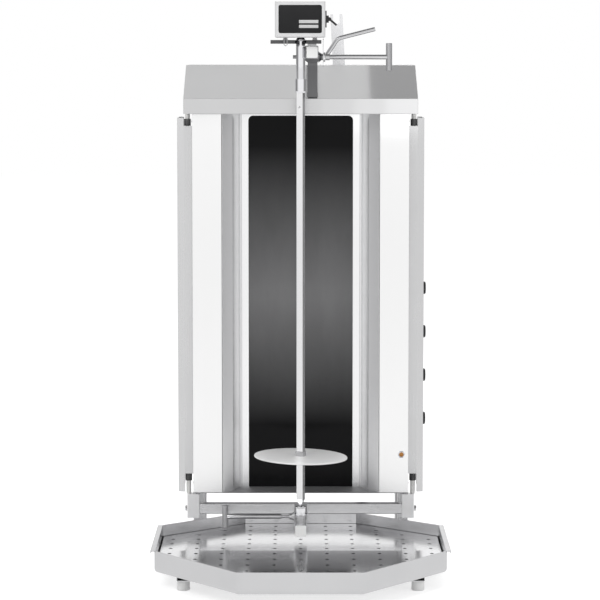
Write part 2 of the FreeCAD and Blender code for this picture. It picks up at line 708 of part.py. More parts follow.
def clamps(boss_end, nut_end):
    """Both clamp screws, and the lever, washer and lock plate on the upper one."""
    washer_x = boss_end + LOCK_PLATE
    hub_x = washer_x + WASHER + RUNNING_FIT * 4
    hub_end = hub_x + HUB_LENGTH
    y, z = clamp_y, upper_screw_z
    hole = SCREW_DIAMETER / 2 + RUNNING_FIT
    half = LOCK_PLATE_WIDTH / 2
    plate = rounded_block(
        boss_end, washer_x, y - half, y + half, z - LOCK_PLATE_BELOW, z + LOCK_PLATE_ABOVE, half * 0.4, X_AXIS
    )
    plate = plate.cut(rod(2 * hole, at(boss_end - 1, y, z), at(washer_x + 1, y, z)))
    r = WASHER_DIAMETER / 2
    washer = turned([(hole, 0), (r, 0), (r, WASHER), (hole, WASHER)], at(washer_x, y, z), X_AXIS)
    save("lock_plate", joined([plate, washer]))
    tip_x = UPPER_ARM_X + TUBE / 2 + SCREW_TIP_GAP
    save("upper_clamp_screw", clamp_screw(tip_x, hub_end + SEAT_GAP, UPPER_BAR_X, z, UPPER_BAR_LENGTH))
    tip_x = -TUBE / 2 - SCREW_TIP_GAP
    neck_x = nut_end - THREAD_LENGTH
    save("lower_clamp_screw", clamp_screw(tip_x, neck_x, -LOWER_BAR_X, lower_arm_z, LOWER_BAR_LENGTH))
    r = HUB_DIAMETER / 2
    hub = turned([(hole, 0), (r, 0), (r, HUB_LENGTH), (hole, HUB_LENGTH)], at(hub_x, y, z), X_AXIS)
    middle = hub_x + HUB_LENGTH / 2
    first = at(middle - 0.5, y, z + r * 0.75)
    bend = at(middle + LEVER_BEND_REACH, y, z + LEVER_RISE * 0.66)
    end = at(middle + LEVER_REACH, y, z + LEVER_RISE)
    handle = bent_rod(LEVER_DIAMETER, [first, bend, end], LEVER_BEND_RADIUS)
    bore = rod(2 * hole, at(hub_x - 1, y, z), at(hub_end, y, z))
    room = rod(ROD_DIAMETER + 2 * SEAT_GAP, at(hub_end, y, z), at(hub_end + LEVER_REACH, y, z))
    save("clamp_lever", joined([hub, handle.cut([bore, room])]))


def bent_rod(diameter, points, radius):
    """A round rod through three points, with an arc of the given radius at the middle one."""
    a, b, c = points
    back = (a - b).normalize()
    on = (c - b).normalize()
    half_turn = (math.pi - back.getAngle(on)) / 2
    reach = radius * math.tan(half_turn)
    p, q = b + back * reach, b + on * reach
    middle_way = (back + on).normalize()
    middle = b + middle_way * (radius / math.cos(half_turn) - radius)
    legs = [Part.LineSegment(a, p), Part.Arc(p, middle, q), Part.LineSegment(q, c)]
    path = Part.Wire([leg.toShape() for leg in legs])
    circle = Part.Wire(Part.makeCircle(diameter / 2, a, b - a))
    return path.makePipeShell([circle], True, False)


def upper_arm():
    """The sliding arm with the motor on its plate."""
    half = TUBE / 2
    x, z = UPPER_ARM_X, upper_arm_z
    tube = square_tube(x, 0, z, half, Y_AXIS, ARM_FRONT_Y, UPPER_ARM_BACK_Y)
    save("upper_arm_caps", [tube_cap(x, z, ARM_FRONT_Y, 1), tube_cap(x, z, UPPER_ARM_BACK_Y, -1)])
    spacer_y0 = SPIT_Y + DRIVE_DIAMETER / 2 + TUBE_CORNER * 3
    reach = half - TUBE_CORNER
    spacer = block(x - reach, x + reach, spacer_y0, spacer_y0 + SPACER_LENGTH, z + half, motor_plate_z)
    save("upper_arm_tube", joined([tube, spacer]))
    cx = MOTOR_OFFSET_X
    x0, x1 = cx - MOTOR_WIDTH / 2, cx + MOTOR_WIDTH / 2
    y0, y1 = SPIT_Y - MOTOR_DEPTH / 2, SPIT_Y + MOTOR_DEPTH / 2
    plate_top = motor_plate_z + MOTOR_PLATE
    plate = block(x0 - 8, x1 - 7, y0 + 18, y1 + 12, motor_plate_z, plate_top)
    notch_r = DRIVE_DIAMETER / 2 + 2.0
    notch = block(-notch_r, notch_r, y0, SPIT_Y, motor_plate_z - 1, plate_top + 1)
    round_end = rod(2 * notch_r, at(0, SPIT_Y, motor_plate_z - 1), at(0, SPIT_Y, plate_top + 1))
    save("motor_plate", plate.cut([notch, round_end]))
    standoffs = []
    for bolt_x in (cx - MOTOR_BOLT_X, cx + MOTOR_BOLT_X):
        for bolt_y in (y0 + MOTOR_BOLT_X, y1 - MOTOR_WALL * 3):
            ring = [(2.0, 0), (4.5, 0), (3.2, MOTOR_STANDOFF), (2.0, MOTOR_STANDOFF)]
            standoffs.append(turned(ring, at(bolt_x, bolt_y, plate_top), Z_AXIS))
    save("motor_housing", joined([motor_housing(x0, x1, y0, y1)] + standoffs))
    z0 = motor_z + MOTOR_HEIGHT
    save("motor_lid", rounded_block(x0, x1, y0, y1, z0, z0 + MOTOR_LID, MOTOR_CORNER, Z_AXIS))
    save("gear_motor", gear_motor(y1))
    switch(x1)


def motor_housing(x0, x1, y0, y1):
    """A cast box, open above, with a bored neck inside for the output shaft."""
    w = MOTOR_WALL
    box = rounded_block(x0, x1, y0, y1, motor_z, motor_z + MOTOR_HEIGHT, MOTOR_CORNER, Z_AXIS)
    lower = [e for e in box.Edges if e.BoundBox.ZMax < motor_z + 0.1]
    box = box.makeChamfer(w / 2, lower)
    room = rounded_block(
        x0 + w, x1 - w, y0 + w, y1 - w, motor_z + w, motor_z + MOTOR_HEIGHT + 1, MOTOR_CORNER - w, Z_AXIS
    )
    bore = OUTPUT_DIAMETER + 2 * RUNNING_FIT
    neck = rod(DRIVE_DIAMETER, at(0, SPIT_Y, motor_z + w), at(0, SPIT_Y, motor_z + 3 * w))
    shaft_bore = rod(bore, at(0, SPIT_Y, motor_z - 1), at(0, SPIT_Y, motor_z + 4 * w))
    z = motor_z + SWITCH_RISE
    bush_hole = rod(SWITCH_BOSS_DIAMETER, at(x1 - 2 * w, SPIT_Y, z), at(x1 + 1, SPIT_Y, z))
    return joined([box.cut([room, bush_hole]), neck]).cut(shaft_bore)


def gear_motor(y1):
    """The motor and its flat gearbox, which stand inside the box on its floor."""
    floor = motor_z + MOTOR_WALL
    top = floor + GEARBOX_HEIGHT
    y0 = SPIT_Y + DRIVE_DIAMETER / 2 + 1.0
    side = MOTOR_DIAMETER / 2 + 6.0
    gearbox = rounded_block(-side, side, y0, y1 - 2 * MOTOR_WALL, floor, top, MOTOR_CORNER / 2, Z_AXIS)
    middle = (y0 + y1 - 2 * MOTOR_WALL) / 2
    barrel = rod(MOTOR_DIAMETER - 6.0, at(0, middle, top), at(0, middle, motor_z + MOTOR_HEIGHT - MOTOR_WALL))
    return joined([gearbox, barrel])


def tube_cap(x, z, end_y, way):
    """A plastic cap that closes an arm's end: a face outside and a plug inside."""
    half = TUBE / 2
    inner = half - TUBE_WALL
    y0, y1 = sorted((end_y, end_y - way * 2.5))
    face = rounded_block(x - half, x + half, y0, y1, z - half, z + half, TUBE_CORNER, Y_AXIS)
    y0, y1 = sorted((end_y, end_y + way * 9))
    return joined([face, block(x - inner, x + inner, y0, y1, z - inner, z + inner)])


def switch(face_x):
    """The motor's toggle switch on the box's right side: a plate, a round bush and a lever with a ball."""
    z = motor_z + SWITCH_RISE
    y, half = SWITCH_WIDTH / 2, SWITCH_HEIGHT / 2
    plate_x = face_x + SWITCH_BEZEL
    mouth_x = plate_x + SWITCH_BOSS
    plate = rounded_block(face_x, plate_x, SPIT_Y - y, SPIT_Y + y, z - half, z + half, 3.0, X_AXIS)
    barrel = rod(SWITCH_BOSS_DIAMETER, at(face_x - MOTOR_WALL * 3, SPIT_Y, z), at(mouth_x, SPIT_Y, z))
    pivot_r = SWITCH_PIVOT_DIAMETER / 2
    hollow = rod(2 * (pivot_r + 2 * SEAT_GAP), at(face_x, SPIT_Y, z), at(mouth_x + 1, SPIT_Y, z))
    save("switch_body", joined([plate, barrel]).cut(hollow))
    centre = at(mouth_x + SWITCH_PIVOT_DIAMETER / 6, SPIT_Y, z)
    half = at(0, SWITCH_PIVOT_LENGTH / 2, 0)
    pivot = rod(SWITCH_PIVOT_DIAMETER, centre - half, centre + half)
    drop = math.radians(SWITCH_LEVER_DROP)
    tip = centre + at(math.cos(drop), 0, -math.sin(drop)) * SWITCH_LEVER_LENGTH
    save("switch_lever", joined([pivot, rod(SWITCH_LEVER_DIAMETER, centre, tip)]))


def drive():
    """The turning tube under the motor, its shaft, and the sleeve that grips the spit's top."""
    bore = DRIVE_BORE / 2
    r = DRIVE_DIAMETER / 2
    o = OUTPUT_DIAMETER / 2
    shaft_top = motor_z + MOTOR_HEIGHT / 2
    shaft_end = drive_top - DRIVE_PLUG
    tube = [
        (bore, drive_z), (r, drive_z), (r, drive_top), (o, drive_top), (o, shaft_top), (0, shaft_top),
        (0, shaft_end), (bore, shaft_end),
    ]
    save("drive_tube", turned(tube, at(0, SPIT_Y, 0), Z_AXIS))
    collar_top = motor_z - SEAT_GAP
    collar = [(o, drive_top), (r, drive_top), (r * 0.72, collar_top), (o, collar_top)]
    save("drive_collar", turned(collar, at(0, SPIT_Y, 0), Z_AXIS))
    top = sleeve_z + SLEEVE_HEIGHT
    s = SLEEVE_DIAMETER / 2
    body = turned(
        [(0, sleeve_z), (s - 2, sleeve_z), (s, sleeve_z + 3), (s, top), (0, top)],
        at(0, SPIT_Y, 0),
        Z_AXIS,
    )
    half = SPIT_SIDE / 2 + SOCKET_PLAY
    square = block(-half, half, -half, half, sleeve_z - 1, drive_z)
    square.Placement = FreeCAD.Placement(at(0, SPIT_Y, 0), FreeCAD.Rotation(Z_AXIS, SPIT_REST_TURN))
    guide_start = at(0, SPIT_Y, sleeve_z + SLEEVE_GRIP)
    guide = rod(DRIVE_DIAMETER + 2 * RUNNING_FIT, guide_start, at(0, SPIT_Y, top + 1))
    save("coupling_sleeve", body.cut([square, guide]))


def lower_arm():
    """The sliding arm below, with the pillar and the cup that the spit's point stands in."""
    tube = square_tube(0, 0, lower_arm_z, TUBE / 2, Y_AXIS, ARM_FRONT_Y, LOWER_ARM_BACK_Y)
    save("lower_arm_cap", tube_cap(0, lower_arm_z, ARM_FRONT_Y, 1))
    pillar = rod(PILLAR_DIAMETER, at(0, SPIT_Y, lower_arm_z + TUBE / 2), at(0, SPIT_Y, pillar_top))
    save("lower_arm_tube", joined([tube, pillar]))
    f, c = CUP_FLANGE_DIAMETER / 2, CUP_DIAMETER / 2
    seat = 7.0
    outline = [
        (0, pillar_top), (f, pillar_top), (f, pillar_top + 3.2), (c, pillar_top + 3.2),
        (c, cup_top - 2.4), (c + 0.9, cup_top - 1.4), (c + 0.9, cup_top), (seat, cup_top),
        (0, cup_top - seat),
    ]
    save("pivot_cup", turned(outline, at(0, SPIT_Y, 0), Z_AXIS))


def spit():
    """The square spit with its point, the disc that carries the meat, and the pin below it."""
    h = SPIT_SIDE / 2
    point_z = spit_tip_z + SPIT_POINT
    bar = block(-h, h, -h, h, point_z, spit_top_z)
    rings = []
    for r, z in ((h, point_z), (SPIT_TIP / 2, spit_tip_z)):
        corners = [at(-r, -r, z), at(r, -r, z), at(r, r, z), at(-r, r, z)]
        rings.append(Part.makePolygon(corners + corners[:1]))
    point = Part.makeLoft(rings, True, True)
    pin_z = disc_z - DISC_CLEARANCE - DISC_PIN_DIAMETER / 2 - DISC_THICKNESS / 2
    hole_z = spit_top_z - SPIT_HOLE_DROP
    top_hole = rod(SPIT_HOLE, at(0, -h - 1, hole_z), at(0, h + 1, hole_z))
    bar = joined([bar, point]).cut(top_hole)
    pin = rod(DISC_PIN_DIAMETER, at(-DISC_PIN_LENGTH / 2, 0, pin_z), at(DISC_PIN_LENGTH / 2, 0, pin_z))
    turn = FreeCAD.Placement(at(0, SPIT_Y, 0), FreeCAD.Rotation(Z_AXIS, SPIT_REST_TURN))
    bar = joined([bar, pin])
    bar.Placement = turn
    save("spit", bar)
    d = DISC_DIAMETER / 2
    t = DISC_THICKNESS / 2
    outline = [(0, -t), (d - 0.5, -t), (d, -t + 0.5), (d, t - 0.5), (d - 0.5, t), (0, t)]
    disc = turned(outline, at(0, 0, 0), Z_AXIS)
    play = h + DISC_CLEARANCE
    disc = disc.cut(block(-play, play, -play, play, -t - 2, t + 2))
    disc.Placement = FreeCAD.Placement(
        at(0, SPIT_Y, disc_z),
        FreeCAD.Rotation(Y_AXIS, DISC_TILT) * FreeCAD.Rotation(Z_AXIS, SPIT_REST_TURN),
    )
    save("meat_disc", disc)


def tray_corners(inset):
    """The eight corners of the tray's outline, drawn in by an inset, seen from above."""
    def line(a, b):
        length = math.hypot(b[0] - a[0], b[1] - a[1])
        nx, ny = -(b[1] - a[1]) / length, (b[0] - a[0]) / length
        return (a[0] + nx * inset, a[1] + ny * inset), (b[0] - a[0], b[1] - a[1])

    half, front, back = TRAY_WIDTH / 2, TRAY_FRONT_WIDTH / 2, TRAY_BACK_WIDTH / 2
    corners = [
        (-front, TRAY_FRONT_Y), (front, TRAY_FRONT_Y),
        (half, TRAY_SIDE_FRONT_Y), (half, TRAY_SIDE_BACK_Y),
        (back, TRAY_BACK_Y), (-back, TRAY_BACK_Y),
        (-half, TRAY_SIDE_BACK_Y), (-half, TRAY_SIDE_FRONT_Y),
    ]
    lines = [line(corners[i], corners[(i + 1) % 8]) for i in range(8)]
    drawn_in = []
    for i in range(8):
        (px, py), (dx, dy) = lines[i - 1]
        (qx, qy), (ex, ey) = lines[i]
        t = ((qx - px) * ey - (qy - py) * ex) / (dx * ey - dy * ex)
        drawn_in.append((px + dx * t, py + dy * t))
    return drawn_in


def round_bottom(solid, radius):
    """A prism whose lower edges are rounded all the way round."""
    low = solid.BoundBox.ZMin
    return solid.makeFillet(radius, [edge for edge in solid.Edges if edge.BoundBox.ZMax < low + 0.1])


def drip_tray():
    """The eight-sided tray, the studs inside it, and the perforated plate that lies on them."""
    z0, z1 = rail_top, rail_top + TRAY_HEIGHT
    outline = [at(x, y, z0) for x, y in tray_corners(0)]
    outer = round_bottom(prism(outline, at(0, 0, TRAY_HEIGHT)), TRAY_EDGE_RADIUS)
    outline = [at(x, y, z0 + SHEET) for x, y in tray_corners(SHEET)]
    inner = round_bottom(prism(outline, at(0, 0, TRAY_HEIGHT)), TRAY_EDGE_RADIUS - SHEET)
    half = TRAY_WIDTH / 2
    edge = half + TRAY_LIP
    section = [
        (half, z1), (edge, z1), (edge, z1 - TRAY_HEM),
        (edge - SHEET, z1 - TRAY_HEM), (edge - SHEET, z1 - SHEET), (half, z1 - SHEET),
    ]
    lip = prism(
        [at(x, TRAY_SIDE_FRONT_Y, z) for x, z in section],
        at(0, TRAY_SIDE_BACK_Y - TRAY_SIDE_FRONT_Y, 0),
    )
    tray = [outer.cut(inner), lip, mirrored(lip)]
    plate_z = z0 + PLATE_LIFT
    for x in (-half * 0.62, 0, half * 0.62):
        for y in (PLATE_CREASE_Y + STUD_DIAMETER, TRAY_SIDE_BACK_Y):
            tray.append(rod(STUD_DIAMETER, at(x, y, z0 + SHEET), at(x, y, plate_z)))
    save("drip_tray", joined(tray))
    profile = [
        (TRAY_FRONT_Y, plate_z - PLATE_CREASE_DROP), (PLATE_CREASE_Y, plate_z), (TRAY_BACK_Y, plate_z),
        (TRAY_BACK_Y, plate_z + SHEET), (PLATE_CREASE_Y, plate_z + SHEET),
        (TRAY_FRONT_Y, plate_z + SHEET - PLATE_CREASE_DROP),
    ]
    sheet = prism([at(-half, y, z) for y, z in profile], at(TRAY_WIDTH, 0, 0))
    room = prism([at(x, y, z0) for x, y in tray_corners(SHEET + PLATE_GAP)], at(0, 0, TRAY_HEIGHT))
    places = hole_places(tray_corners(SHEET + PLATE_GAP + HOLE_EDGE))
    holes = []
    for x, y in places:
        holes.append(prism([at(x, y, z0) + corner for corner in hole_outline()], at(0, 0, TRAY_HEIGHT)))
    save("perforated_plate", sheet.common(room).cut(holes))


def hole_outline():
    """One hole of the plate about its middle, with a few flat sides as its many copies have."""
    r = HOLE_DIAMETER / 2
    turns = [math.radians(360 * (i + 0.5) / HOLE_SIDES) for i in range(HOLE_SIDES)]
    return [at(r * math.cos(turn), r * math.sin(turn), 0) for turn in turns]


def hole_places(limits):
    """Where the plate is pierced: a square pattern, kept inside the outline given."""
    columns = int(TRAY_WIDTH / 2 / HOLE_PITCH_X)
    rows = int((HOLE_FIRST_Y - TRAY_FRONT_Y) / HOLE_PITCH_Y) + 1
    places = []
    for i in range(-columns, columns + 1):
        for j in range(rows):
            x, y = i * HOLE_PITCH_X, HOLE_FIRST_Y - j * HOLE_PITCH_Y
            inside = True
            for k in range(len(limits)):
                (ax, ay), (bx, by) = limits[k], limits[(k + 1) % len(limits)]
                if (bx - ax) * (y - ay) - (by - ay) * (x - ax) < 0:
                    inside = False
            if inside:
                places.append((x, y))
    return places


def knob_z(i):
    """The height of one control knob's axis, counted from below."""
    return housing_z + KNOB_RISE + i * KNOB_PITCH


def controls():
    """Four knobs with bezels on the right side, the regulators behind them, and the pilot lamp."""
    bezels, regulators = [], []
    shaft_r = SPINDLE_DIAMETER / 2
    knob_x = side_x + SHEET + KNOB_GAP
    for i in range(KNOB_COUNT):
        z = knob_z(i)
        centre = at(side_x, KNOB_Y, z)
        r = BEZEL_DIAMETER / 2
        ring = [(shaft_r + 3, 0), (r, 0), (r - 0.5, SHEET), (shaft_r + 3, SHEET)]
        bezels.append(turned(ring, centre, X_AXIS))
        back = side_x - SHEET
        w, h = REGULATOR_WIDTH / 2, REGULATOR_HEIGHT / 2
        box = rounded_block(back - REGULATOR_DEPTH, back, KNOB_Y - w, KNOB_Y + w, z - h, z + h, 3.0, X_AXIS)
        spindle = rod(SPINDLE_DIAMETER, at(back, KNOB_Y, z), at(knob_x + SPINDLE_REACH, KNOB_Y, z))
        regulators.append(joined([box, spindle]))
        s, g = KNOB_SKIRT_DIAMETER / 2, KNOB_GRIP_DIAMETER / 2
        outline = [
            (0, 0), (s, 0), (s, 5), (g + 1.5, 10), (g, KNOB_LENGTH - 1.5), (g - 1.5, KNOB_LENGTH),
            (0, KNOB_LENGTH),
        ]
        knob = turned(outline, at(knob_x, KNOB_Y, z), X_AXIS)
        bore_end = at(knob_x + SPINDLE_REACH + KNOB_GAP, KNOB_Y, z)
        bore = rod(SPINDLE_DIAMETER + 2 * RUNNING_FIT, at(knob_x - 1, KNOB_Y, z), bore_end)
        end = knob_x + KNOB_LENGTH
        groove = block(end - KNOB_GROOVE, end + 1, KNOB_Y - g - 1, KNOB_Y + g + 1, z - 2.5, z + 2.5)
        save(f"knob_{i + 1}", knob.cut([bore, groove]))
    save("knob_bezels", bezels)
    save("regulators", regulators)
    z = housing_z + LAMP_RISE
    r = LAMP_DIAMETER / 2
    face = at(lamp_x, HOUSING_FRONT_Y, z)
    outward = at(0, -1, 0)
    save("lamp_bezel", turned([(r - 2, 0), (r, 0), (r, 1.0), (r - 1, 2.2), (r - 2, 2.2)], face, outward))
    lens = [(0, -14), (r - 2.1, -14), (r - 2.1, 1.8), (r - 3.6, 3.4), (0, 4.0)]
    save("lamp_lens", turned(lens, face, outward))


def rear_fork():
    """The plate on the hood with a notch in which a spit leans."""
    x0 = FORK_X - FORK_WIDTH / 2
    x1 = FORK_X + FORK_WIDTH / 2
    z0, z1 = hood_top, hood_top + FORK_HEIGHT
    outline = [
        at(x0, FORK_Y, z0), at(x1, FORK_Y, z0),
        at(x1 - FORK_LEAN, FORK_Y, z1), at(x0 - FORK_LEAN, FORK_Y, z1),
    ]
    plate = prism(outline, at(0, FORK_THICKNESS, 0))
    n = FORK_NOTCH / 2
    middle = FORK_X - FORK_LEAN
    y0, y1 = FORK_Y - 1, FORK_Y + FORK_THICKNESS + 1
    round_z = z1 - FORK_NOTCH_DEPTH + n
    slot = block(middle - n, middle + n, y0, y1, round_z, z1 + 1)
    round_end = rod(FORK_NOTCH, at(middle, y0, round_z), at(middle, y1, round_z))
    base = block(x0, x1, FORK_Y, FORK_Y + FORK_BASE, z0, z0 + FORK_THICKNESS)
    save("spit_fork", joined([plate.cut([slot, round_end]), base]))


def fittings():
    """The cable gland below the floor and the terminal block above it."""
    r = GLAND_DIAMETER / 2
    b = GLAND_BORE / 2
    n = GLAND_NUT / 2
    end, shoulder, inside = -GLAND_REACH, -GLAND_COLLAR, SHEET + GLAND_INSIDE
    outline = [
        (b, end), (r - 2, end), (r, end + 3), (r, shoulder), (n, shoulder), (n, 0), (r, 0), (r, SHEET),
        (n, SHEET), (n, inside), (b, inside),
    ]
    save("cable_gland", turned(outline, at(GLAND_X, GLAND_Y, housing_z), Z_AXIS))
    y = GLAND_Y - TERMINAL_BACK
    w, d, z1 = TERMINAL_WIDTH / 2, TERMINAL_DEPTH / 2, floor_top + TERMINAL_HEIGHT
    save("terminal_block", rounded_block(GLAND_X - w, GLAND_X + w, y - d, y + d, floor_top, z1, 2.0, Z_AXIS))


os.makedirs("parts", exist_ok=True)
post_inner = floor_frame()
post_top = hinge_posts(post_inner)
wings(post_top)
housing()
window()
hood()
boss_end, nut_end = arm_supports()
clamps(boss_end, nut_end)
upper_arm()
drive()
lower_arm()
spit()
drip_tray()
controls()
rear_fork()
fittings()
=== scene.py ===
# %% [markdown]
# An upright electric grill stands on a pale studio floor: a turning spit in front of a tall heated
# recess, with an eight-sided tray below and a motor on a sliding arm above.
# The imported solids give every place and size. This script loads them, gives each one the finish of
# the real sheet, tube or casting, and adds the fine turned and pressed pieces that solids leave out.

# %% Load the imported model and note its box
import math
import bpy
import numpy as np
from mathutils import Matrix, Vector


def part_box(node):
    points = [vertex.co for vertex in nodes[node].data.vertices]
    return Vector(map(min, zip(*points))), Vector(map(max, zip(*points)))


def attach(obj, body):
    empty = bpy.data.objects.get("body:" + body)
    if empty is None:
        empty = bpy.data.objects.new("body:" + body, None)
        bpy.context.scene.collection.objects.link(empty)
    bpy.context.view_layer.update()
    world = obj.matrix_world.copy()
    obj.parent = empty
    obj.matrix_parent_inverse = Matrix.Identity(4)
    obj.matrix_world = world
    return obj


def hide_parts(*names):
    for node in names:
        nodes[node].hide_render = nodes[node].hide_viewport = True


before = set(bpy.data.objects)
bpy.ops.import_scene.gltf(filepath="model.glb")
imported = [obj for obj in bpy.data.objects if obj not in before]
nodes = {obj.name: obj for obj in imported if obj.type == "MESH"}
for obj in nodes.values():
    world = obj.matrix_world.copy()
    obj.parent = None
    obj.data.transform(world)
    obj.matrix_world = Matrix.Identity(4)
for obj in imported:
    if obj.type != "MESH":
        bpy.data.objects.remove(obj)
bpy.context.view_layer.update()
MM = 0.001


def box_of(name):
    """The low and the high corner of a solid's box, as arrays in metres."""
    return tuple(np.array(corner, float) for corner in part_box(name))


# %% [markdown]
# A photograph of a tall product is usually taken from far away with a long lens, so that its
# uprights stay nearly parallel. The camera stands a little below the motor's height and looks
# slightly down, and its lens is chosen so that the grill fills the square frame from top to bottom.

# %% Place the camera
CAMERA_PLACE = (0.0, -4.4296, 0.9649)
CAMERA_PITCH = 0.0836
CAMERA_LENS = 145.11
SENSOR_WIDTH = 36.0
FARTHEST_SEEN = 100.0
FRAME_PIXELS = 600
SIDE_SHIFT_PIXELS = -0.7
DOWN_SHIFT = -0.08

camera_data = bpy.data.cameras.new("studio_camera")
camera_data.sensor_width = SENSOR_WIDTH
camera_data.lens = CAMERA_LENS
camera_data.shift_x = SIDE_SHIFT_PIXELS / FRAME_PIXELS
camera_data.shift_y = DOWN_SHIFT
camera_data.clip_end = FARTHEST_SEEN
camera = bpy.data.objects.new("studio_camera", camera_data)
camera.location = CAMERA_PLACE
camera.rotation_euler = (math.pi / 2 - CAMERA_PITCH, 0.0, 0.0)
bpy.context.scene.collection.objects.link(camera)
bpy.context.scene.camera = camera
print("camera at", CAMERA_PLACE)

# %% [markdown]
# Sheet metal shows what stands around it. A real studio hangs white cloth round the product and
# keeps the ceiling dimmer, so that upright faces look bright and sloping faces look grey. Dark flags
# between the cloths draw the bands that make a round tube look round. The world does the same here
# for what metal mirrors: white ahead and from a little above the horizon, grey at the flags low down
# to the sides and behind, and dimmer overhead, most of all high in front. The camera sees plain
# white, and dull surfaces get a plain soft level of light.

# %% Make node helpers
def link(tree, start, end):
    """Join two sockets of a node tree."""
    tree.links.new(start, end)


def math_node(tree, operation, first, second=None, clamp=False):
    """One arithmetic node, fed by sockets or by plain numbers."""
    node = tree.nodes.new("ShaderNodeMath")
    node.operation = operation
    node.use_clamp = clamp
    for socket, value in zip(node.inputs, (first, second)):
        if value is None:
            continue
        if isinstance(value, (int, float)):
            socket.default_value = value
        else:
            link(tree, value, socket)
    return node.outputs[0]


def seen_directly(tree):
    """1 for rays from the camera, from a mirror or through glass, and 0 for diffuse light."""
    path = tree.nodes.new("ShaderNodeLightPath")
    either = math_node(tree, "MAXIMUM", path.outputs["Is Camera Ray"], path.outputs["Is Glossy Ray"])
    return math_node(tree, "MAXIMUM", either, path.outputs["Is Transmission Ray"])


def smooth_step(tree, value, low, high, to_low, to_high):
    """The value mapped with a soft start and end from one range to another."""
    node = tree.nodes.new("ShaderNodeMapRange")
    node.interpolation_type = "SMOOTHSTEP"
    link(tree, value, node.inputs["Value"])
    for name, number in (("From Min", low), ("From Max", high), ("To Min", to_low), ("To Max", to_high)):
        node.inputs[name].default_value = number
    return node.outputs["Result"]


def front_share(tree, y, length):
    """How squarely a level way points to the front: minus its y part over its level length."""
    return math_node(tree, "DIVIDE", math_node(tree, "MULTIPLY", y, -1.0),
                     math_node(tree, "MAXIMUM", length, NEAR_ZERO))


def mixed(tree, share, first, second):
    """Two shaders mixed: the first where the share is 0, the second where it is 1."""
    node = tree.nodes.new("ShaderNodeMixShader")
    for start, socket in zip((share, first, second), node.inputs):
        link(tree, start, socket)
    return node.outputs[0]


NEAR_ZERO = 0.001
print("node helpers ready")

# %% [markdown]
# The world's pattern is worked out from the way that a mirrored ray leaves in. How squarely it points
# to the front gives the cloth and the flags, and how far it climbs gives the ceiling. A Light Path node
# then chooses between that pattern, plain white for the camera, and the soft level for dull surfaces.

# %% Build the world
WHITE = (1, 1, 1, 1)
WORLD_DIFFUSE = 0.62
CEILING_GREY = 0.42
FLAG_GREY = 0.26
FACING_START, FACING_END = 0.10, 0.78
HIGH_CLOTH_START, HIGH_CLOTH_END = 0.05, 0.17
CEILING_START, CEILING_END = 0.15, 0.95
AHEAD_START, AHEAD_END, AHEAD_DIMMING = -0.25, 0.15, 0.72
ABOVE_START, ABOVE_END = 0.62, 0.80
world = bpy.data.worlds.new("studio_world")
world.use_nodes = True
tree = world.node_tree
tree.nodes.clear()
direction = tree.nodes.new("ShaderNodeTexCoord")
split = tree.nodes.new("ShaderNodeSeparateXYZ")
link(tree, direction.outputs["Generated"], split.inputs[0])
way_y, way_z = split.outputs["Y"], split.outputs["Z"]
level = math_node(tree, "SQRT", math_node(tree, "SUBTRACT", 1.0, math_node(tree, "POWER", way_z, 2.0)))
front_cloth = smooth_step(tree, front_share(tree, way_y, level), FACING_START, FACING_END, FLAG_GREY, 1.0)
high_cloth = smooth_step(tree, way_z, HIGH_CLOTH_START, HIGH_CLOTH_END, 0.0, 1.0)
cloth = math_node(tree, "MAXIMUM", front_cloth, high_cloth)
ceiling = smooth_step(tree, way_z, CEILING_START, CEILING_END, 1.0, CEILING_GREY)
ahead = smooth_step(tree, way_y, AHEAD_START, AHEAD_END, AHEAD_DIMMING, 0.0)
above = smooth_step(tree, way_z, ABOVE_START, ABOVE_END, 0.0, 1.0)
undimmed = math_node(tree, "SUBTRACT", 1.0, math_node(tree, "MULTIPLY", ahead, above))
mirrored = math_node(tree, "MULTIPLY", math_node(tree, "MULTIPLY", cloth, ceiling), undimmed)
path = tree.nodes.new("ShaderNodeLightPath")
seen = tree.nodes.new("ShaderNodeMix")
link(tree, path.outputs["Is Camera Ray"], seen.inputs[0])
link(tree, mirrored, seen.inputs[2])
seen.inputs[3].default_value = 1.0
direct = tree.nodes.new("ShaderNodeBackground")
direct.inputs["Color"].default_value = WHITE
link(tree, seen.outputs[0], direct.inputs["Strength"])
soft = tree.nodes.new("ShaderNodeBackground")
soft.inputs["Color"].default_value = WHITE
soft.inputs["Strength"].default_value = WORLD_DIFFUSE
out = tree.nodes.new("ShaderNodeOutputWorld")
link(tree, mixed(tree, seen_directly(tree), soft.outputs[0], direct.outputs[0]), out.inputs[0])
bpy.context.scene.world = world
bpy.context.scene.view_settings.view_transform = "Standard"
print("world white ahead,", FLAG_GREY, "at the flags,", CEILING_GREY, "overhead")

# %% [markdown]
# Soft light comes from large lamps: one above and in front on the left, a weaker one on the right, a
# broad one overhead that gives the floor its shadow under the tray, and a faint one behind for the
# back. The two whose bright patches would blow out the steel aren't seen by reflections.

# %% Hang the lamps
def lamp(name, place, aim, size, power):
    """A square area lamp that points from its place at a target."""
    data = bpy.data.lights.new(name, "AREA")
    data.size = size
    data.energy = power
    thing = bpy.data.objects.new(name, data)
    thing.location = place
    way = np.array(aim) - np.array(place)
    yaw = math.atan2(way[1], way[0]) - math.pi / 2
    tilt = math.atan2(way[2], math.hypot(way[0], way[1])) + math.pi / 2
    thing.rotation_euler = (tilt, 0.0, yaw)
    bpy.context.scene.collection.objects.link(thing)
    return thing


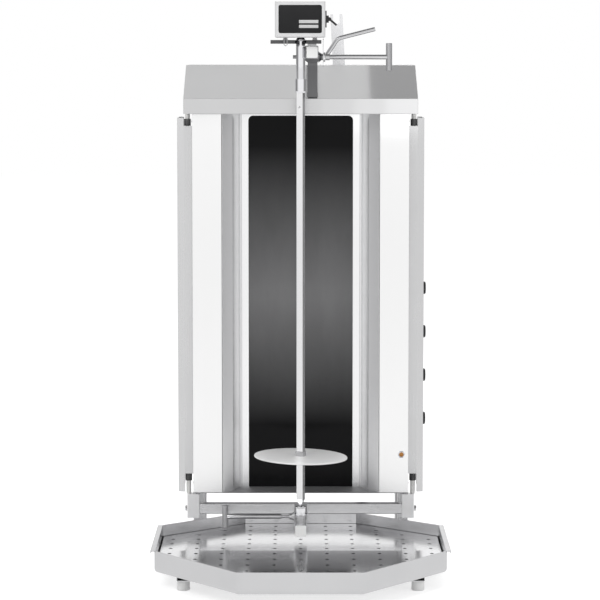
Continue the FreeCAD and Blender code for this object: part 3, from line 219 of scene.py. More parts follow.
MIDDLE = (0.0, 0.0, 0.5)
lamp("key_lamp", (-1.6, -2.6, 2.6), MIDDLE, 1.6, 34.0)
lamp("fill_lamp", (2.2, -2.2, 1.6), MIDDLE, 1.8, 16.0).visible_glossy = False
lamp("top_lamp", (0.0, 0.2, 3.2), MIDDLE, 2.4, 22.0).visible_glossy = False
lamp("back_lamp", (0.8, 2.8, 2.2), MIDDLE, 1.8, 11.0)

# %% [markdown]
# Sheet steel shows what stands close to it, so a few small panel lamps hang near the hood: one over its
# slope, which ends before the right side, and three ahead of its front, brighter towards the right.
# Only reflections see them. A panel lamp's power is its wanted light times pi times its area. Each
# fascia panel has its start and its end across, and its light.

# %% Hang the panel lamps
def panel_lamp(name, place, tilt, wide, high, light):
    """A rectangular lamp that is turned about the x axis only, for reflections alone."""
    data = bpy.data.lights.new(name, "AREA")
    data.shape = "RECTANGLE"
    data.size, data.size_y = wide, high
    data.energy = light * math.pi * wide * high
    thing = bpy.data.objects.new(name, data)
    thing.location = place
    thing.rotation_euler = (tilt, 0.0, 0.0)
    for ray in ("camera", "diffuse", "transmission", "volume_scatter"):
        setattr(thing, "visible_" + ray, False)
    bpy.context.scene.collection.objects.link(thing)


SLOPE_RUN, SLOPE_RISE = 0.118, 0.061
OVER_SLOPE, AHEAD_OF_FASCIA = 0.12, 0.08
SLOPE_PANEL_X, SLOPE_PANEL_WIDTH, SLOPE_PANEL_DEPTH = -0.084, 0.432, 0.29
SLOPE_PANEL_LIGHT = 0.34
FASCIA_PANEL_HEIGHT = 0.11
FASCIA_PANELS = ((0.04, 0.10, 0.10), (0.10, 0.16, 0.22), (0.16, 0.30, 0.38))
hood_low, hood_high = box_of("hood")
slope = math.atan2(SLOPE_RISE, SLOPE_RUN)
panel_y = hood_low[1] + SLOPE_RUN / 2 + OVER_SLOPE * math.cos(2 * slope)
panel_z = hood_high[2] - SLOPE_RISE / 2 + OVER_SLOPE * math.sin(2 * slope)
panel_lamp("slope_panel", (SLOPE_PANEL_X, panel_y, panel_z), slope, SLOPE_PANEL_WIDTH, SLOPE_PANEL_DEPTH,
           SLOPE_PANEL_LIGHT)
fascia_z = (hood_low[2] + hood_high[2] - SLOPE_RISE) / 2
for i, (start, end, light) in enumerate(FASCIA_PANELS):
    panel_lamp("front_panel_lamp_" + str(i), ((start + end) / 2, hood_low[1] - AHEAD_OF_FASCIA, fascia_z),
               math.pi / 2, end - start, FASCIA_PANEL_HEIGHT, light)
print("panel lamps hung")

# %% [markdown]
# The floor is a plain pale sheet. It keeps the grill's shadow, and adds a little of its own white
# for the camera, so that it runs into the white background without a line. What metal mirrors of it
# is bright near the grill and dark far off at the sides and behind, where the flags stand.

# %% Lay the floor
FLOOR_HALF = 14.0
FLOOR_WHITE = 0.80
FLOOR_LIFT = 0.52
FLOOR_MIRRORED = 0.75
NEAR_FLOOR_END, FAR_FLOOR_START = 0.9, 2.2
floor_mesh = bpy.data.meshes.new("studio_floor")
signs = ((-1, -1), (1, -1), (1, 1), (-1, 1))
floor_mesh.from_pydata([(x * FLOOR_HALF, y * FLOOR_HALF, 0) for x, y in signs], [], [(0, 1, 2, 3)])
floor = bpy.data.objects.new("studio_floor", floor_mesh)
bpy.context.scene.collection.objects.link(floor)
floor_paint = bpy.data.materials.new("studio_floor")
floor_paint.use_nodes = True
tree = floor_paint.node_tree
tree.nodes.clear()
matt = tree.nodes.new("ShaderNodeBsdfDiffuse")
matt.inputs["Color"].default_value = (FLOOR_WHITE, FLOOR_WHITE, FLOOR_WHITE, 1)
lift = tree.nodes.new("ShaderNodeEmission")
path = tree.nodes.new("ShaderNodeLightPath")
link(tree, math_node(tree, "MULTIPLY", path.outputs["Is Camera Ray"], FLOOR_LIFT), lift.inputs["Strength"])
plain = tree.nodes.new("ShaderNodeAddShader")
link(tree, matt.outputs[0], plain.inputs[0])
link(tree, lift.outputs[0], plain.inputs[1])
spot = tree.nodes.new("ShaderNodeSeparateXYZ")
link(tree, tree.nodes.new("ShaderNodeTexCoord").outputs["Object"], spot.inputs[0])
across = math_node(tree, "POWER", math_node(tree, "ABSOLUTE", spot.outputs["X"]), 2.0)
along = math_node(tree, "POWER", math_node(tree, "ABSOLUTE", spot.outputs["Y"]), 2.0)
reach = math_node(tree, "SQRT", math_node(tree, "ADD", across, along))
far_cloth = smooth_step(tree, front_share(tree, spot.outputs["Y"], reach), FACING_START, FACING_END,
                        FLAG_GREY, 1.0)
near = smooth_step(tree, reach, NEAR_FLOOR_END, FAR_FLOOR_START, 1.0, 0.0)
flagged = tree.nodes.new("ShaderNodeEmission")
link(tree, math_node(tree, "MAXIMUM", far_cloth, near), flagged.inputs["Strength"])
mirrored_ray = math_node(tree, "MULTIPLY", path.outputs["Is Glossy Ray"], FLOOR_MIRRORED)
out = tree.nodes.new("ShaderNodeOutputMaterial")
link(tree, mixed(tree, mirrored_ray, plain.outputs[0], flagged.outputs[0]), out.inputs[0])
floor_mesh.materials.append(floor_paint)
print("floor", 2 * FLOOR_HALF, "m square")

# %% [markdown]
# Most of the grill is stainless steel in different finishes. Rolled sheet carries a fine grain in
# one direction, hands and cleaning leave soft smears, and folded edges catch the light because they
# are a little round. One function makes every metal: it stretches a noise along the grain for the
# bump, uses a slow noise for the smears, and rounds the edges with a bevel normal.

# %% Make metals
GRAIN_AXES = {"x": (1.0, 0.0, 0.0), "y": (0.0, 1.0, 0.0), "z": (0.0, 0.0, 1.0), "none": (0.0, 0.0, 0.0)}
FINE_ALONG, FINE_ACROSS = 14.0, 2600.0
BAND_ALONG, BAND_ACROSS = 3.0, 420.0
SMEAR_WAVES, MARK_WAVES = (11.0, 11.0, 7.0), (70.0, 70.0, 70.0)
SMEAR_SHARE, MARK_SHARE = 0.88, 0.12
BEVEL_SAMPLES = 4


def noise(tree, place, scale, detail, roughness=0.5):
    """A noise read at a stretched place; scale is a triple of waves per metre."""
    stretch = tree.nodes.new("ShaderNodeMapping")
    stretch.inputs["Scale"].default_value = scale
    link(tree, place, stretch.inputs["Vector"])
    node = tree.nodes.new("ShaderNodeTexNoise")
    node.inputs["Scale"].default_value = 1.0
    node.inputs["Detail"].default_value = detail
    node.inputs["Roughness"].default_value = roughness
    link(tree, stretch.outputs[0], node.inputs["Vector"])
    return node.outputs["Fac"]


def ranged(tree, value, low, high, to_low, to_high):
    """The value mapped from one range to another and kept inside it."""
    node = tree.nodes.new("ShaderNodeMapRange")
    link(tree, value, node.inputs["Value"])
    for name, number in (("From Min", low), ("From Max", high), ("To Min", to_low), ("To Max", to_high)):
        node.inputs[name].default_value = number
    return node.outputs["Result"]


def tinted(tree, factor, dark, bright):
    """A colour that goes from dark to bright with the factor."""
    node = tree.nodes.new("ShaderNodeMix")
    node.data_type = "RGBA"
    link(tree, factor, node.inputs["Factor"])
    node.inputs[6].default_value = (*dark, 1)
    node.inputs[7].default_value = (*bright, 1)
    return node.outputs[2]


def new_surface(name):
    """A material with a shader, and the place of each point on its own object."""
    surface = bpy.data.materials.new(name)
    surface.use_nodes = True
    tree = surface.node_tree
    shader = tree.nodes["Principled BSDF"]
    place = tree.nodes.new("ShaderNodeTexCoord").outputs["Object"]
    return surface, tree, shader, place


def bumped(tree, shader, heights, edge_radius):
    """Feed the shader a normal with rounded edges and the given (height, strength, depth) bumps."""
    edge = tree.nodes.new("ShaderNodeBevel")
    edge.samples = BEVEL_SAMPLES
    edge.inputs["Radius"].default_value = edge_radius
    normal = edge.outputs[0]
    for height, strength, depth in heights:
        bump = tree.nodes.new("ShaderNodeBump")
        bump.inputs["Strength"].default_value = strength
        bump.inputs["Distance"].default_value = depth
        link(tree, height, bump.inputs["Height"])
        link(tree, normal, bump.inputs["Normal"])
        normal = bump.outputs[0]
    link(tree, normal, shader.inputs["Normal"])


def metal(name, tint, roughness, grain="none", grain_depth=0.00002, smears=0.3, edge_radius=0.0006,
          metallic=1.0):
    """Bare metal: a tint, a fine grain along one axis, soft smears and rounded edges."""
    surface, tree, shader, place = new_surface(name)
    along = GRAIN_AXES[grain]
    fine = tuple(FINE_ALONG if a else FINE_ACROSS for a in along)
    broad = tuple(BAND_ALONG if a else BAND_ACROSS for a in along)
    lines = noise(tree, place, fine, 2.0, 0.6)
    bands = noise(tree, place, broad, 3.0, 0.55)
    smear = math_node(tree, "MULTIPLY", noise(tree, place, SMEAR_WAVES, 4.0, 0.6), SMEAR_SHARE)
    marks = math_node(tree, "MULTIPLY", noise(tree, place, MARK_WAVES, 5.0, 0.7), MARK_SHARE)
    worn = math_node(tree, "ADD", smear, marks)
    shader.inputs["Metallic"].default_value = metallic
    dark = tuple(c * (1.0 - 0.16 * smears) for c in tint)
    bright = tuple(min(1.0, c * (1.0 + 0.06 * smears)) for c in tint)
    colour = tinted(tree, ranged(tree, worn, 0.35, 0.65, 0.0, 1.0), dark, bright)
    link(tree, colour, shader.inputs["Base Color"])
    spread = roughness * 0.2 * (0.2 + smears)
    base = ranged(tree, worn, 0.3, 0.7, roughness + spread, roughness - spread)
    streaks = ranged(tree, bands, 0.3, 0.7, -0.05 * roughness, 0.05 * roughness)
    link(tree, math_node(tree, "ADD", base, streaks, clamp=True), shader.inputs["Roughness"])
    bumped(tree, shader, [(lines, 0.10, grain_depth)], edge_radius)
    return surface


print("metal function ready")

# %% [markdown]
# Each metal of the grill is one row: its name, tint, roughness, grain axis, grain depth in metres and
# amount of smears, and where needed the radius of its rounded edges or how metallic it is. A duller tint
# makes a darker sheet, and a lower roughness a polished one.

# %% Mix the metals
finish = {
    "panel": metal("bright_panel", (0.985, 0.985, 0.985), 0.22, "z", 0.000001, 0.04),
    "reflector": metal("brushed_reflector", (0.84, 0.84, 0.85), 0.24, "z", 0.000002, 0.08, metallic=0.75),
    "window": metal("polished_window_frame", (0.97, 0.97, 0.975), 0.22, "z", 0.000001, 0.06),
    "tray": metal("polished_tray", (0.66, 0.66, 0.67), 0.22, "x", 0.000001, 0.15),
    "plate": metal("polished_perforated_plate", (0.84, 0.84, 0.85), 0.15, "x", 0.000001, 0.15),
    "disc": metal("turned_disc", (0.90, 0.90, 0.90), 0.50, "none", 0.00001, 0.2, metallic=0.3),
    "hood": metal("brushed_hood", (0.66, 0.66, 0.665), 0.22, "x", 0.000001, 0.12, edge_radius=0.0012),
    "wing": metal("brushed_wing", (0.68, 0.68, 0.685), 0.28, "z", 0.000002, 0.15),
    "side": metal("brushed_side", (0.62, 0.62, 0.63), 0.32, "z", 0.00001, 0.5),
    "recess": metal("dark_recess_floor", (0.42, 0.42, 0.43), 0.65, "x", 0.000004, 0.3),
    "back": metal("galvanised_back", (0.54, 0.55, 0.56), 0.42, "x", 0.00001, 0.8),
    "tube_x": metal("brushed_tube_across", (0.86, 0.86, 0.87), 0.26, "x", 0.000001, 0.15),
    "tube_y": metal("brushed_tube_lengthwise", (0.66, 0.66, 0.67), 0.26, "y", 0.000006, 0.4),
    "tube_z": metal("brushed_tube_upright", (0.68, 0.68, 0.69), 0.28, "z", 0.000006, 0.4),
    "post": metal("dark_steel_post", (0.17, 0.17, 0.175), 0.40, "z", 0.000004, 0.3),
    "collar": metal("clamp_collar_steel", (0.36, 0.36, 0.37), 0.30, "none", 0.000004, 0.3,
                    edge_radius=0.0008),
    "plate_post": metal("bright_hinge_post", (0.90, 0.90, 0.905), 0.34, "z", 0.000002, 0.25,
                        edge_radius=0.0008),
    "lever": metal("bright_lever", (0.60, 0.60, 0.61), 0.15, "none", 0.000002, 0.2, edge_radius=0.0003),
    "bar": metal("satin_cross_bar", (0.52, 0.52, 0.53), 0.60, "none", 0.000002, 0.2, edge_radius=0.0004),
    "zinc": metal("bright_zinc", (0.80, 0.80, 0.81), 0.17, "none", 0.000004, 0.3, edge_radius=0.0003),
    "chrome": metal("polished_chrome", (0.84, 0.84, 0.86), 0.07, "none", 0.000002, 0.15,
                    edge_radius=0.0003),
    "spit": metal("ground_spit", (0.86, 0.86, 0.87), 0.22, "z", 0.000006, 0.2, edge_radius=0.0005),
}
print("metals", len(finish))

# %% [markdown]
# The spit is a square bar that stands turned, so two of its faces look at the dark grill and two at the
# bright room. Straight on, its long faces mirror the same cloth and would look alike. A little painted
# shade in two opposite faces' colour keeps its edge readable, wherever the camera stands.

# %% Shade two faces of the spit
def darken_two_sides(surface, middle, turn, half, shade):
    """Two opposite faces of a square bar get painted shade, less of its colour: they lie where the distance
    from the bar's axis along the turned direction is nearly the half width."""
    tree = surface.node_tree
    shader = tree.nodes["Principled BSDF"]
    colour = shader.inputs["Base Color"].links[0].from_socket
    split = tree.nodes.new("ShaderNodeSeparateXYZ")
    link(tree, tree.nodes.new("ShaderNodeTexCoord").outputs["Object"], split.inputs[0])
    from_axis_x = math_node(tree, "SUBTRACT", split.outputs["X"], middle[0])
    from_axis_y = math_node(tree, "SUBTRACT", split.outputs["Y"], middle[1])
    across = math_node(tree, "MULTIPLY", from_axis_x, math.cos(turn))
    along = math_node(tree, "MULTIPLY", from_axis_y, math.sin(turn))
    distance = math_node(tree, "ABSOLUTE", math_node(tree, "ADD", across, along))
    side = smooth_step(tree, distance, half - SHADE_START, half - SHADE_END, 0.0, shade)
    node = tree.nodes.new("ShaderNodeMix")
    node.data_type = "RGBA"
    link(tree, side, node.inputs["Factor"])
    link(tree, colour, node.inputs[6])
    node.inputs[7].default_value = PAINTED_SHADE_COLOUR
    link(tree, node.outputs[2], shader.inputs["Base Color"])


BAR_TURN = math.radians(-20.0)
BAR_HALF = 6.0 * MM
SHADE_START, SHADE_END = 0.25 * MM, 0.1 * MM
# How much painted shade the two turned faces get, and its colour.
SIDE_SHADE = 0.70
PAINTED_SHADE_COLOUR = (0.03, 0.03, 0.032, 1)
spit_low, spit_high = box_of("spit")
darken_two_sides(finish["spit"], (spit_low + spit_high) / 2, BAR_TURN, BAR_HALF, SIDE_SHADE)
print("spit faces shaded")

# %% [markdown]
# The motor's box is a casting with a fine pebbled skin under pale paint. The plate that it stands on
# is dark. Plastics have a faint mould texture, and their roughness changes a little
# from place to place, which keeps large caps and knobs from looking like paper.

# %% Mix casting, plastics and ceramics
def moulded(name, colour, roughness, pebble=900.0, depth=0.00004, spread=0.12, coat=0.0,
            edge_radius=0.0005):
    """Paint or plastic: a colour with slight mottling, a pebbled bump and uneven gloss."""
    surface, tree, shader, place = new_surface(name)
    mottle = noise(tree, place, (24.0, 24.0, 24.0), 4.0, 0.6)
    skin = noise(tree, place, (pebble, pebble, pebble), 3.0, 0.5)
    dark = tuple(c * (1.0 - spread) for c in colour)
    bright = tuple(min(1.0, c * (1.0 + spread)) for c in colour)
    shade = tinted(tree, ranged(tree, mottle, 0.35, 0.65, 0.0, 1.0), dark, bright)
    link(tree, shade, shader.inputs["Base Color"])
    uneven = ranged(tree, mottle, 0.3, 0.7, roughness * 1.2, roughness * 0.85)
    link(tree, uneven, shader.inputs["Roughness"])
    shader.inputs["Coat Weight"].default_value = coat
    shader.inputs["Coat Roughness"].default_value = 0.15
    bumped(tree, shader, [(skin, 0.4, depth)], edge_radius)
    return surface


finish.update({
    "cast": moulded("painted_casting", (0.74, 0.74, 0.745), 0.42, 700.0, 0.00008, 0.03, edge_radius=0.0012),
    "dark": moulded("dark_satin_paint", (0.085, 0.085, 0.088), 0.42, 800.0, 0.00004, 0.15),
    "label": moulded("dark_label_foil", (0.016, 0.016, 0.017), 0.45, 500.0, 0.000004, 0.06),
    "field": moulded("pale_label_field", (0.62, 0.62, 0.62), 0.40, 500.0, 0.000004, 0.05),
    # The hole rims are painted dark: painted shade inside the plate's holes.
    "rim_shade": metal("punched_rim_painted_shade", (0.10, 0.10, 0.105), 0.45, "none", 0.000002, 0.2, edge_radius=0.0001,
                 metallic=0.6),
    "black": moulded("black_plastic", (0.022, 0.022, 0.024), 0.38, 1300.0, 0.00003, 0.2),
    "white": moulded("white_plastic", (0.93, 0.93, 0.925), 0.40, 1100.0, 0.00002, 0.03),
    "ceramic": moulded("fired_ceramic", (0.78, 0.72, 0.62), 0.75, 500.0, 0.0001, 0.08),
    "board": moulded("fibre_board", (0.74, 0.73, 0.68), 0.9, 260.0, 0.0003, 0.06),
    "amber": moulded("amber_lens", (0.42, 0.16, 0.012), 0.10, 900.0, 0.000004, 0.08, coat=0.6),
})
print("finishes", len(finish))

# %% [markdown]
# The window is black glass-ceramic. In the photograph a smoky grey bloom lies over its middle, and here
# that reflection is painted into its colour, which rises and falls with height. The hinge bushes are two
# plastics in one solid, a white neck and a black head, so their colour changes at two heights, which are
# taken from the wings.

# %% Mix the glass and the two-coloured bushes
def black_glass():
    """Glass-ceramic: nearly black, with a painted reflection, a smoky bloom, over the middle and a polished
    coat.
    """
    surface, tree, shader, place = new_surface("black_glass_ceramic")
    low_z, high_z = (float(corner[2]) for corner in box_of("ceramic_glass"))
    split = tree.nodes.new("ShaderNodeSeparateXYZ")
    link(tree, place, split.inputs[0])
    # The bloom is a painted reflection: a lighter colour that rises from the lower edge and falls towards
    # the upper one.
    rise = ranged(tree, split.outputs["Z"], low_z + REFLECTION_RISE[0], low_z + REFLECTION_RISE[1], 0.0, 1.0)
    fall = ranged(tree, split.outputs["Z"], high_z - REFLECTION_FALL[0], high_z - REFLECTION_FALL[1], 1.0, 0.0)
    painted_reflection = math_node(tree, "MULTIPLY", rise, fall)
    haze = noise(tree, place, (18.0, 18.0, 5.0), 4.0, 0.6)
    soft_painted_reflection = math_node(tree, "MULTIPLY", painted_reflection, ranged(tree, haze, 0.3, 0.7, 0.85, 1.0))
    link(tree, tinted(tree, soft_painted_reflection, GLASS_BLACK, GLASS_PAINTED_REFLECTION), shader.inputs["Base Color"])
    link(tree, ranged(tree, haze, 0.3, 0.7, 0.16, 0.09), shader.inputs["Roughness"])
    shader.inputs["Specular IOR Level"].default_value = 0.09
    bumped(tree, shader, [(haze, 0.05, 0.0001)], 0.0004)
    return surface


def hinge_plastic():
    """The hinge bushes: a white neck and a black head, told apart by height on the grill."""
    surface, tree, shader, place = new_surface("hinge_bush_plastic")
    split = tree.nodes.new("ShaderNodeSeparateXYZ")
    link(tree, place, split.inputs[0])
    wing_low, wing_high = box_of("wing_right")
    head_start = float(wing_low[2]) + LOW_KNUCKLE_RISE - HEAD_LENGTH
    head_end = float(wing_high[2]) - HIGH_KNUCKLE_DROP + HEAD_LENGTH
    above_start = math_node(tree, "GREATER_THAN", split.outputs["Z"], head_start)
    below_end = math_node(tree, "LESS_THAN", split.outputs["Z"], head_end)
    mottle = noise(tree, place, (60.0, 60.0, 60.0), 3.0, 0.5)
    head = math_node(tree, "MULTIPLY", above_start, below_end)
    shade = math_node(tree, "MULTIPLY", head, ranged(tree, mottle, 0.3, 0.7, 0.9, 1.0))
    link(tree, tinted(tree, shade, NECK_WHITE, HEAD_BLACK), shader.inputs["Base Color"])
    link(tree, ranged(tree, mottle, 0.3, 0.7, 0.34, 0.26), shader.inputs["Roughness"])
    bumped(tree, shader, [(mottle, 0.1, 0.00002)], 0.0003)
    return surface


# Heights and colour of the painted reflection on the glass.
REFLECTION_RISE, REFLECTION_FALL = (0.12, 0.36), (0.33, 0.06)
GLASS_BLACK, GLASS_PAINTED_REFLECTION = (0.006, 0.006, 0.0065), (0.185, 0.185, 0.188)
HEAD_LENGTH = 0.0135
LOW_KNUCKLE_RISE, HIGH_KNUCKLE_DROP = 35.0 * MM, 15.5 * MM
NECK_WHITE, HEAD_BLACK = (0.80, 0.80, 0.785), (0.022, 0.022, 0.024)
finish["label"].node_tree.nodes["Principled BSDF"].inputs["Specular IOR Level"].default_value = 0.2
finish["bush"] = hinge_plastic()
finish["glass"] = black_glass()
print("finishes", len(finish))

# %% [markdown]
# Each name below is one solid of the model, and gets its finish here. Most solids keep their shape. A
# few are replaced further on by finer pieces of the same size, and those are dressed here as well.

# %% Dress the solids
DRESS = {
    "panel": ["front_panel_left", "front_panel_right"],
    "reflector": ["reflector_left", "reflector_right"],
    "window": ["window_frame"],
    "glass": ["ceramic_glass"],
    "tray": ["drip_tray"],
    "disc": ["meat_disc"],
    "plate": ["perforated_plate"],
    "hood": ["hood"],
    "bush": ["hinge_bushes"],
    "wing": ["wing_left", "wing_right"],
    "side": ["side_panel_left", "side_panel_right", "housing_ceiling"],
    "recess": ["housing_floor"],
    "back": ["back_panel"],
    "tube_x": ["cross_tube"],
    "tube_y": ["floor_rails", "upper_arm_tube", "lower_arm_tube", "lower_socket"],
    "tube_z": ["uprights", "spit_fork"],
    "plate_post": ["hinge_posts"],
    "post": ["arm_post"],
    "collar": ["upper_collar"],
    "lever": ["clamp_lever"],
    "zinc": ["post_bolts", "lock_plate", "upper_clamp_screw", "lower_clamp_screw", "hinge_pins",
             "regulators"],
    "chrome": ["drive_tube", "coupling_sleeve", "lamp_bezel", "knob_bezels", "pivot_cup"],
    "spit": ["spit"],
    "cast": ["motor_housing", "motor_lid"],
    "dark": ["motor_plate", "gear_motor"],
    "black": ["knob_1", "knob_2", "knob_3", "knob_4", "switch_body", "switch_lever", "cable_gland",
              "drive_collar"],
    "white": ["upper_arm_caps", "lower_arm_cap", "levelling_feet", "terminal_block"],
    "ceramic": ["heater_tiles"],
    "board": ["insulation_board"],
    "amber": ["lamp_lens"],
}
for key, names in DRESS.items():
    for name in names:
        for material_slot in nodes[name].material_slots:
            material_slot.material = finish[key]
print("dressed", sum(len(names) for names in DRESS.values()), "of", len(nodes))

# %% [markdown]
# Turned parts come next: knobs, feet, the drive tube and its collar. On a lathe the tool follows a
# profile while the bar spins, so a grid of height steps by angle steps is the natural mesh. The
# helper takes the profile as radius and height pairs, and may change the radius with the angle, which
# gives flutes and threads.

# %% Make surfaces of revolution
def add_mesh(name, points, faces, smooth_angle=35.0):
    """A mesh object at the origin, from points in metres, smooth but for edges sharper than the angle."""
    mesh = bpy.data.meshes.new(name)
    mesh.from_pydata(np.asarray(points, float).tolist(), [], [list(map(int, face)) for face in faces])
    mesh.validate()
    mesh.shade_smooth()
    mesh.set_sharp_from_angle(angle=math.radians(smooth_angle))
    piece = bpy.data.objects.new(name, mesh)
    bpy.context.scene.collection.objects.link(piece)
    return piece


def axes_about(way):
    """Three unit vectors, the last along the way: the frame in which a profile is turned."""
    w = np.asarray(way, float) / np.linalg.norm(way)
    helper = np.array([0.0, 0.0, 1.0]) if abs(w[2]) < 0.9 else np.array([1.0, 0.0, 0.0])
    u = np.cross(helper, w)
    u /= np.linalg.norm(u)
    return u, np.cross(w, u), w


def grid_faces(rows, columns, offset=0):
    """Quads of a grid whose columns run round and close on themselves."""
    i = np.arange(rows - 1)[:, None] * columns
    j = np.arange(columns)[None, :]
    k = (j + 1) % columns
    quads = np.stack([i + j, i + k, i + k + columns, i + j + columns], axis=-1).reshape(-1, 4)
    return quads + offset


def turned(profile, base, way, steps=64, ripple=None):
    """Points and faces of a profile of (radius, height) in metres, turned about the way from the base.

    A point is base + radius * (cos a * u + sin a * v) + height * w. A radius of 0 at either end
    closes it with a fan. ripple(radius, height, angle) may return a changed radius.
    """
    u, v, w = axes_about(way)
    profile = np.asarray(profile, float)
    closed_low, closed_high = profile[0, 0] == 0.0, profile[-1, 0] == 0.0
    rings = profile[int(closed_low):len(profile) - int(closed_high)]
    angle = np.linspace(0.0, 2 * np.pi, steps, endpoint=False)[None, :]
    radius = np.repeat(rings[:, :1], steps, axis=1)
    height = np.repeat(rings[:, 1:], steps, axis=1)
    if ripple is not None:
        radius = ripple(radius, height, angle)
    flat = radius[..., None] * (np.cos(angle)[..., None] * u + np.sin(angle)[..., None] * v)
    points = (flat + height[..., None] * w + np.asarray(base, float)).reshape(-1, 3)
    faces = list(map(tuple, grid_faces(len(rings), steps)))
    for closed, row, end in ((closed_low, 0, profile[0]), (closed_high, len(rings) - 1, profile[-1])):
        if not closed:
            continue
        points = np.vstack([points, np.asarray(base, float) + end[1] * w])
        ring = np.arange(steps) + row * steps
        tip = len(points) - 1
        following = np.roll(ring, -1)
        pair = (following, ring) if row == 0 else (ring, following)
        faces.extend(map(tuple, np.column_stack([np.full(steps, tip), *pair])))
    return points, faces


def rounded_profile(corners, radius=0.0004, steps=3):
    """A profile of (radius, height) corners whose inner corners are cut by short arcs of that radius."""
    corners = [np.asarray(c, float) for c in corners]
    out = [corners[0]]
    for before, here, after in zip(corners, corners[1:], corners[2:]):
        a, b = before - here, after - here
        la, lb = np.linalg.norm(a), np.linalg.norm(b)
        cut = min(radius, la * 0.45, lb * 0.45)
        start, end = here + a / la * cut, here + b / lb * cut
        t = np.linspace(0.0, 1.0, steps + 1)[:, None]
        out.extend((1 - t) ** 2 * start + 2 * t * (1 - t) * here + t ** 2 * end)
    out.append(corners[-1])
    return np.array(out)


print("lathe ready")

# %% [markdown]
# Three more helpers serve every new piece. One turns a closed shape's faces out, one joins several shapes
# to one piece, and one gives a piece its finish, hangs it on the body that carries it and hides the solids
# that it stands for.

# %% Make helpers that close, join and finish
def outward(points, faces):
    """The same shape with its faces turned out.

    The sum of p0 . (p1 x p2) over its triangles is then positive.
    """
    total = 0.0
    middle = points.mean(axis=0)
    for face in faces:
        p = points[list(face)] - middle
        total += np.einsum("ij,ij->", np.cross(p[1:-1], p[2:]), np.repeat(p[:1], len(p) - 2, axis=0))
    return (points, faces) if total > 0 else (points, [f[::-1] for f in faces])


def join_shapes(shapes):
    """Several (points, faces) pairs as one."""
    points, faces, start = [], [], 0
    for p, f in shapes:
        points.append(p)
        faces.extend(tuple(i + start for i in face) for face in f)
        start += len(p)
    return np.vstack(points), faces


def finished(piece, key, body, replaced=()):
    """Give a new piece its finish and its body, and hide the solids that it stands for."""
    piece.data.materials.append(finish[key])
    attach(piece, body)
    if replaced:
        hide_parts(*replaced)
    return piece


print("piece helpers ready")

# %% [markdown]
# A control knob is moulded black plastic with a round skirt and a grip with shallow flutes. A silver
# ring goes round the outer half of the grip, and a white line on the end shows where it points. The
# flutes are a cosine of the angle, faded out at both ends of the grip.

# %% Turn the four knobs
KNOB_STEPS, RING_STEPS = 144, 96
FLUTES, FLUTE_DEPTH = 24, 0.00045
FLUTE_FADE_IN, FLUTE_FADE_OUT = 0.003, 0.002
FLUTE_RINGS = 24
GRIP_RADIUS = 12.2 * MM
SKIRT_THICK, CONE_END, CONE_STEP = 5.0 * MM, 10.0 * MM, 1.5 * MM
TIP_BEVEL, TIP_STEP = 1.5 * MM, 1.8 * MM
KNOB_ROUNDING = 0.9 * MM
RING_SUNK, RING_PROUD = 0.4 * MM, 0.25 * MM
MARK_HALF, MARK_START, MARK_STOP = 0.6 * MM, 2.0 * MM, 2.4 * MM
MARK_BACK, MARK_FRONT = -0.0004, 0.00015
knob_low, knob_high = box_of("knob_1")
skirt_radius = (knob_high[2] - knob_low[2]) / 2
knob_length = knob_high[0] - knob_low[0]
cone_top, grip_start, grip_end = 0.42 * knob_length, 0.30 * knob_length, 0.94 * knob_length
ring_start, ring_end = 0.52 * knob_length, 0.70 * knob_length


def fluted(radius, height, angle):
    """The radius less a cosine of the angle, on the grip alone."""
    fade_in = np.clip((height - grip_start) / FLUTE_FADE_IN, 0, 1)
    fade_out = np.clip((grip_end - height) / FLUTE_FADE_OUT, 0, 1)
    return radius - FLUTE_DEPTH * fade_in * fade_out * (0.5 + 0.5 * np.cos(FLUTES * angle))


knob_outline = rounded_profile([
    (0, 0), (skirt_radius, 0), (skirt_radius, SKIRT_THICK), (GRIP_RADIUS + CONE_STEP, CONE_END),
    (GRIP_RADIUS, cone_top), (GRIP_RADIUS, knob_length - TIP_BEVEL),
    (GRIP_RADIUS - TIP_STEP, knob_length), (0, knob_length)], KNOB_ROUNDING, 4)
flute_heights = np.linspace(grip_start, grip_end, FLUTE_RINGS)
flute_radii = np.interp(flute_heights, knob_outline[:, 1], knob_outline[:, 0])
knob_rings = np.vstack([knob_outline, np.stack([flute_radii, flute_heights], axis=1)])
knob_rings = knob_rings[knob_rings[:, 0] > 0]
knob_rings = knob_rings[np.argsort(knob_rings[:, 1], kind="stable")]
knob_profile = np.vstack([[0, 0], knob_rings, [0, knob_length]])
ring_profile = rounded_profile([
    (GRIP_RADIUS - RING_SUNK, ring_start), (GRIP_RADIUS + RING_PROUD, ring_start),
    (GRIP_RADIUS + RING_PROUD, ring_end), (GRIP_RADIUS - RING_SUNK, ring_end)], 0.15 * MM)
mark_outline = ((-MARK_HALF, MARK_START), (MARK_HALF, MARK_START), (MARK_HALF, GRIP_RADIUS - MARK_STOP),
                (-MARK_HALF, GRIP_RADIUS - MARK_STOP))
MARK_FACES = [(0, 3, 2, 1), (4, 5, 6, 7), (0, 1, 5, 4), (1, 2, 6, 5), (2, 3, 7, 6), (3, 0, 4, 7)]
for i in range(1, 5):
    name = f"knob_{i}"
    low, high = box_of(name)
    base = np.array([low[0], (low[1] + high[1]) / 2, (low[2] + high[2]) / 2])
    knob = add_mesh(f"{name}_grip", *turned(knob_profile, base, (1, 0, 0), KNOB_STEPS, fluted), 40)
    finished(knob, "black", name, [name])
    ring = add_mesh(f"{name}_ring", *turned(ring_profile, base, (1, 0, 0), RING_STEPS))
    finished(ring, "chrome", name)
    tip_x = base[0] + knob_length
    mark_points = [(tip_x + x, base[1] + y, base[2] + z) for x in (MARK_BACK, MARK_FRONT)
                   for y, z in mark_outline]
    finished(add_mesh(f"{name}_mark", mark_points, MARK_FACES), "white", name)
print("knobs", knob_length, skirt_radius)

# %% [markdown]
# The drive is a plated tube that hangs from the motor under a black collar. Both are turned, with small
# rounded rims that catch a line of light. The loose sleeve below them keeps its solid.

